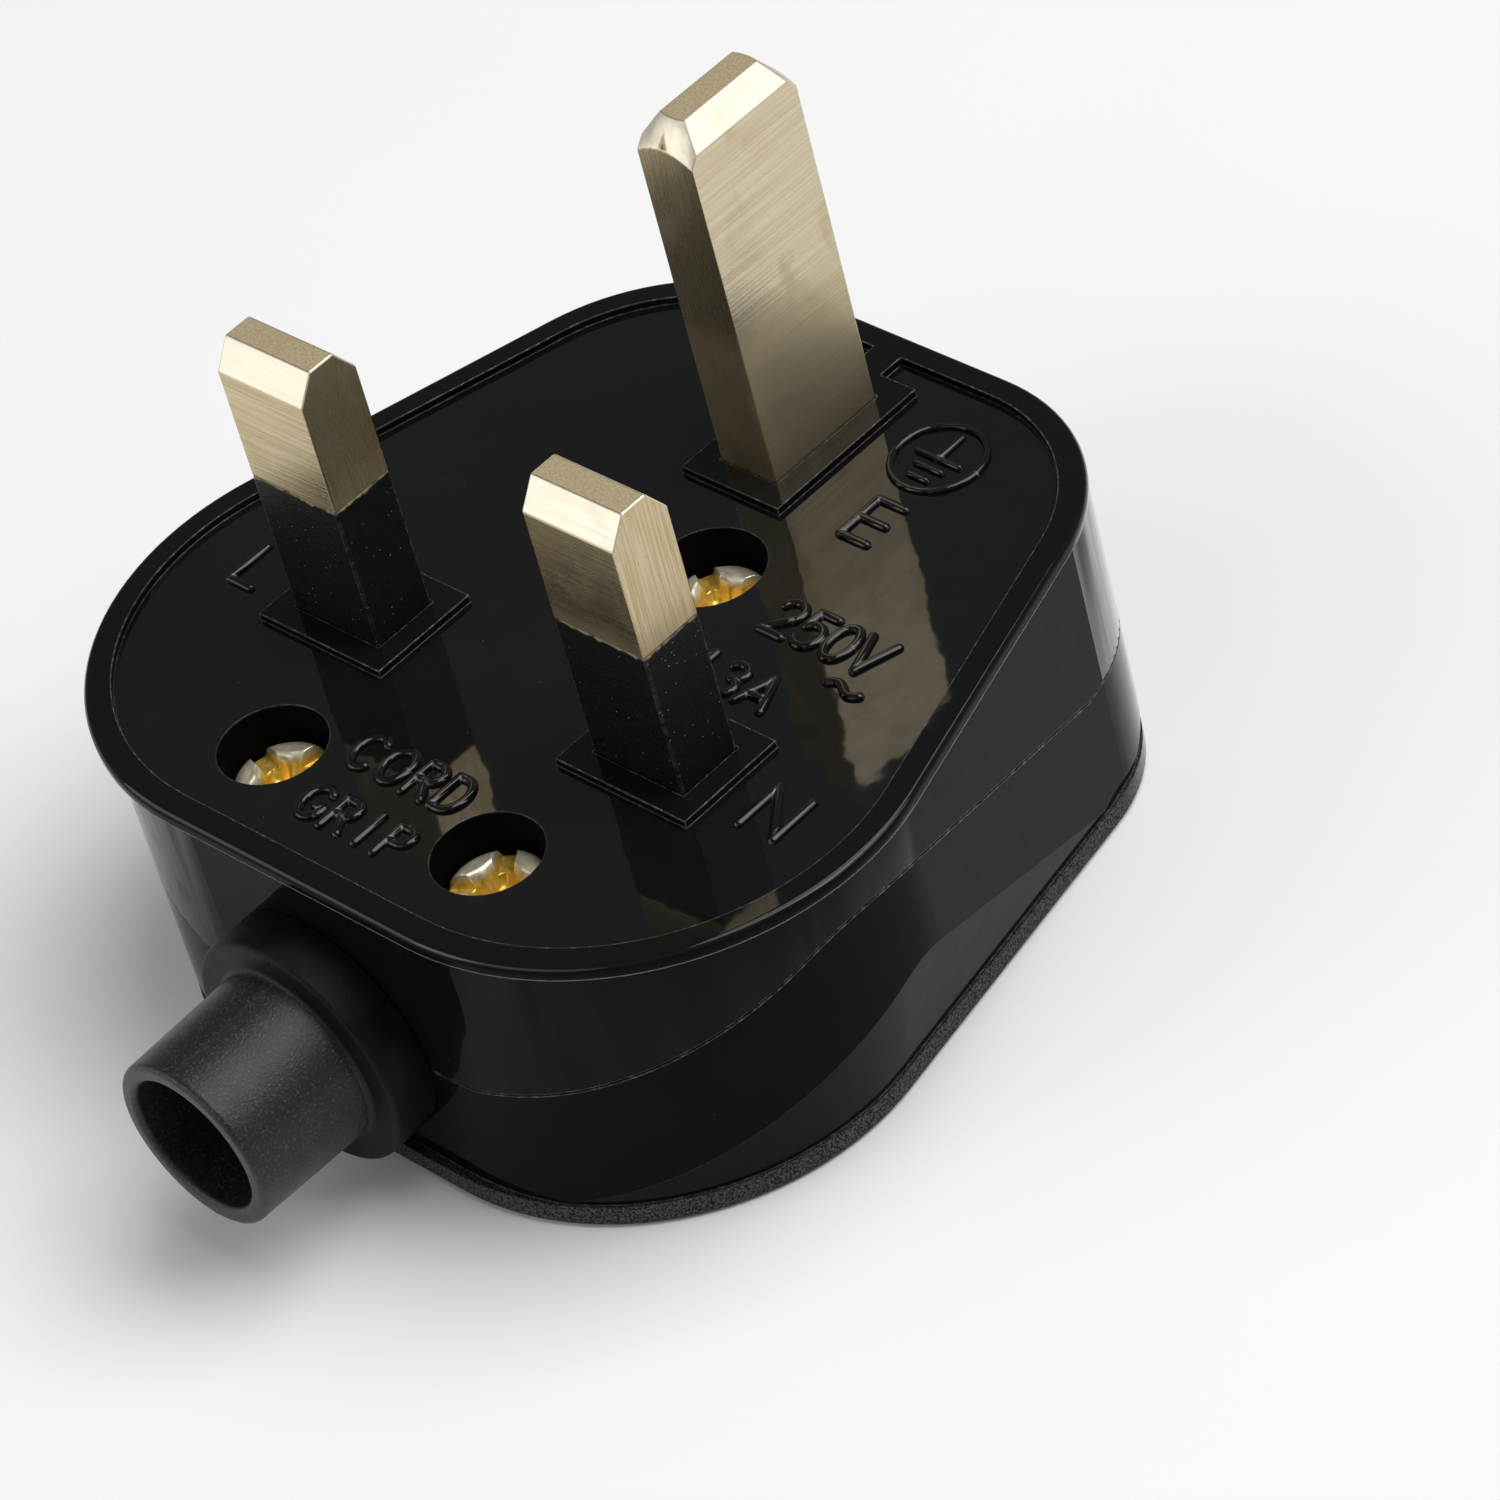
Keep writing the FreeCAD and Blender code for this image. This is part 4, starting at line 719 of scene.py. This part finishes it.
def rounded(corners):
    """Points of a closed outline whose corners are rounded, each corner (along, radius, fillet)."""
    points = []
    count = len(corners)
    for k, (y, r, fillet) in enumerate(corners):
        here = Vector((y, r))
        before = (Vector(corners[k - 1][:2]) - here).normalized()
        after = (Vector(corners[(k + 1) % count][:2]) - here).normalized()
        if fillet == 0.0:
            points.append(here)
            continue
        half = math.acos(max(-1.0, min(1.0, before.dot(after)))) / 2.0
        cut = fillet / math.tan(half)
        middle = here + (before + after).normalized() * fillet / math.sin(half)
        start = here + before * cut - middle
        end = here + after * cut - middle
        for part in range(FILLET_STEPS + 1):
            points.append(middle + start.lerp(end, part / FILLET_STEPS).normalized() * fillet)
    return points


def add_cord_sleeve(material):
    """The rubber cord sleeve: round lip, soft flange and a mould seam along its top and bottom."""
    low, high = (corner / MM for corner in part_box("cord_sleeve"))
    axis_z = (low.z + high.z) / 2.0
    flange = (high.z - low.z) / 2.0
    outline = rounded([
        (high.y, SLEEVE_BORE, 0.0),
        (low.y, SLEEVE_BORE, SLEEVE_LIP_RADIUS),
        (low.y, SLEEVE_END_RADIUS, SLEEVE_LIP_RADIUS),
        (FLANGE_BACK, SLEEVE_ROOT_RADIUS, SLEEVE_ROOT_FILLET),
        (FLANGE_BACK, flange, FLANGE_EDGE_RADIUS),
        (FLANGE_SEAT, flange, SEAT_EDGE_RADIUS),
        (FLANGE_SEAT, SLEEVE_ROOT_RADIUS, 0.0),
        (COLLAR_SEAT, SLEEVE_ROOT_RADIUS, 0.0),
        (COLLAR_SEAT, COLLAR_RADIUS, SEAT_EDGE_RADIUS),
        (high.y, COLLAR_RADIUS, SEAT_EDGE_RADIUS),
    ])
    vertices = []
    for y, r in outline:
        outside = step(SLEEVE_BORE + 0.2, SLEEVE_BORE + 0.5, r) * step(FLANGE_SEAT, FLANGE_SEAT - 0.3, y)
        for k in range(SLEEVE_SECTORS):
            a = 2.0 * math.pi * k / SLEEVE_SECTORS
            off_seam = r * abs(math.cos(a)) / SEAM_HALF_WIDTH
            reach = r + outside * SEAM_HEIGHT * math.exp(-off_seam * off_seam)
            vertices.append((reach * math.cos(a), y, axis_z + reach * math.sin(a)))
    faces = grid_faces(len(outline), SLEEVE_SECTORS)
    tail = (len(outline) - 1) * SLEEVE_SECTORS
    for k in range(SLEEVE_SECTORS):
        after = (k + 1) % SLEEVE_SECTORS
        faces.append((tail + k, tail + after, after, k))
    add_piece("cord_sleeve_moulded", vertices, faces, material, ["cord_sleeve"], 40.0)


# Dressing of the solids.

def dress(name, material, bevel=0.0):
    """Gives a solid its finish and, where it shows, softened edges."""
    solid = nodes[name]
    solid.data.materials.clear()
    solid.data.materials.append(material)
    if bevel:
        merge = solid.modifiers.new("one_skin", "WELD")
        merge.merge_threshold = 1e-7
        flat = solid.modifiers.new("flat_faces", "DECIMATE")
        flat.decimate_type = "DISSOLVE"
        flat.angle_limit = math.radians(0.3)
        soft = solid.modifiers.new("soft_edges", "BEVEL")
        soft.width = bevel * MM
        soft.segments = 2
        soft.limit_method = "ANGLE"
        soft.angle_limit = math.radians(28.0)
        soft.harden_normals = True


def add_floor():
    low = cad_box[0][2] / MM
    corners = [(-1, -1), (1, -1), (1, 1), (-1, 1)]
    mesh = bpy.data.meshes.new("floor")
    spots = [Vector((x * FLOOR_HALF, y * FLOOR_HALF, low)) * MM for x, y in corners]
    mesh.from_pydata(spots, [], [(0, 1, 2, 3)])
    mesh.materials.append(floor_finish())
    floor = bpy.data.objects.new("floor", mesh)
    bpy.context.scene.collection.objects.link(floor)


bpy.context.scene.view_settings.view_transform = "Standard"
add_camera()
add_world(0.17)
add_softbox("overhead", (0.30, 0.32, 0.90), 900.0, 760.0, 760.0, 3.8)
add_softbox("right_box", (0.65, 0.45, 0.60), 650.0, 420.0, 420.0, 1.4)
add_softbox("left_card", (-0.60, -0.72, 0.34), 600.0, 460.0, 380.0, 1.4)
add_softbox("front_card", (-0.10, -0.88, 0.46), 600.0, 640.0, 340.0, 1.1)
add_floor()

black = body_finish()
line_brass = pin_finish("pin_brass_line", "Y", 0.0)
earth_brass = pin_finish("pin_brass_earth", "X", 0.3)
insulation = insulation_finish()
gold = screw_finish()
terminal = sheet_brass_finish("terminal_brass", (0.78, 0.60, 0.28), (0.60, 0.42, 0.17))
clip = sheet_brass_finish("clip_brass", (0.80, 0.64, 0.34), (0.64, 0.47, 0.22))
ceramic = ceramic_finish()
cap = cap_finish()
fibre = fibre_finish()
rubber = rubber_finish()

dress("base", black, 0.08)
dress("cover", black)
dress("earth_pin", earth_brass, 0.12)
dress("neutral_pin", line_brass, 0.12)
dress("live_pin", line_brass, 0.12)
for side in ("neutral", "live"):
    dress(f"{side}_pin_sleeve", insulation, 0.12)
for name in ("earth_terminal_screw", "neutral_terminal_screw", "live_terminal_screw", "cover_insert"):
    dress(name, gold)
dress("live_terminal", terminal)
for end in ("pin_side", "terminal_side"):
    dress(f"fuse_clip_{end}", clip)
    dress(f"fuse_cap_{end}", cap)
dress("fuse_tube", ceramic)
dress("cord_clamp_bar", fibre)
dress("cover_screw_retainer", fibre)

add_marks(black)
add_screw("cord_grip_screw_live_side", -12.0, gold)
add_screw("cord_grip_screw_neutral_side", 33.0, gold)
add_screw("cover_screw", 60.0, gold)
add_cord_sleeve(rubber)

for node in ("cord_grip_screw_live_side", "cord_grip_screw_neutral_side", "cover_screw"):
    dress(node, gold)
dress("cord_sleeve", rubber)
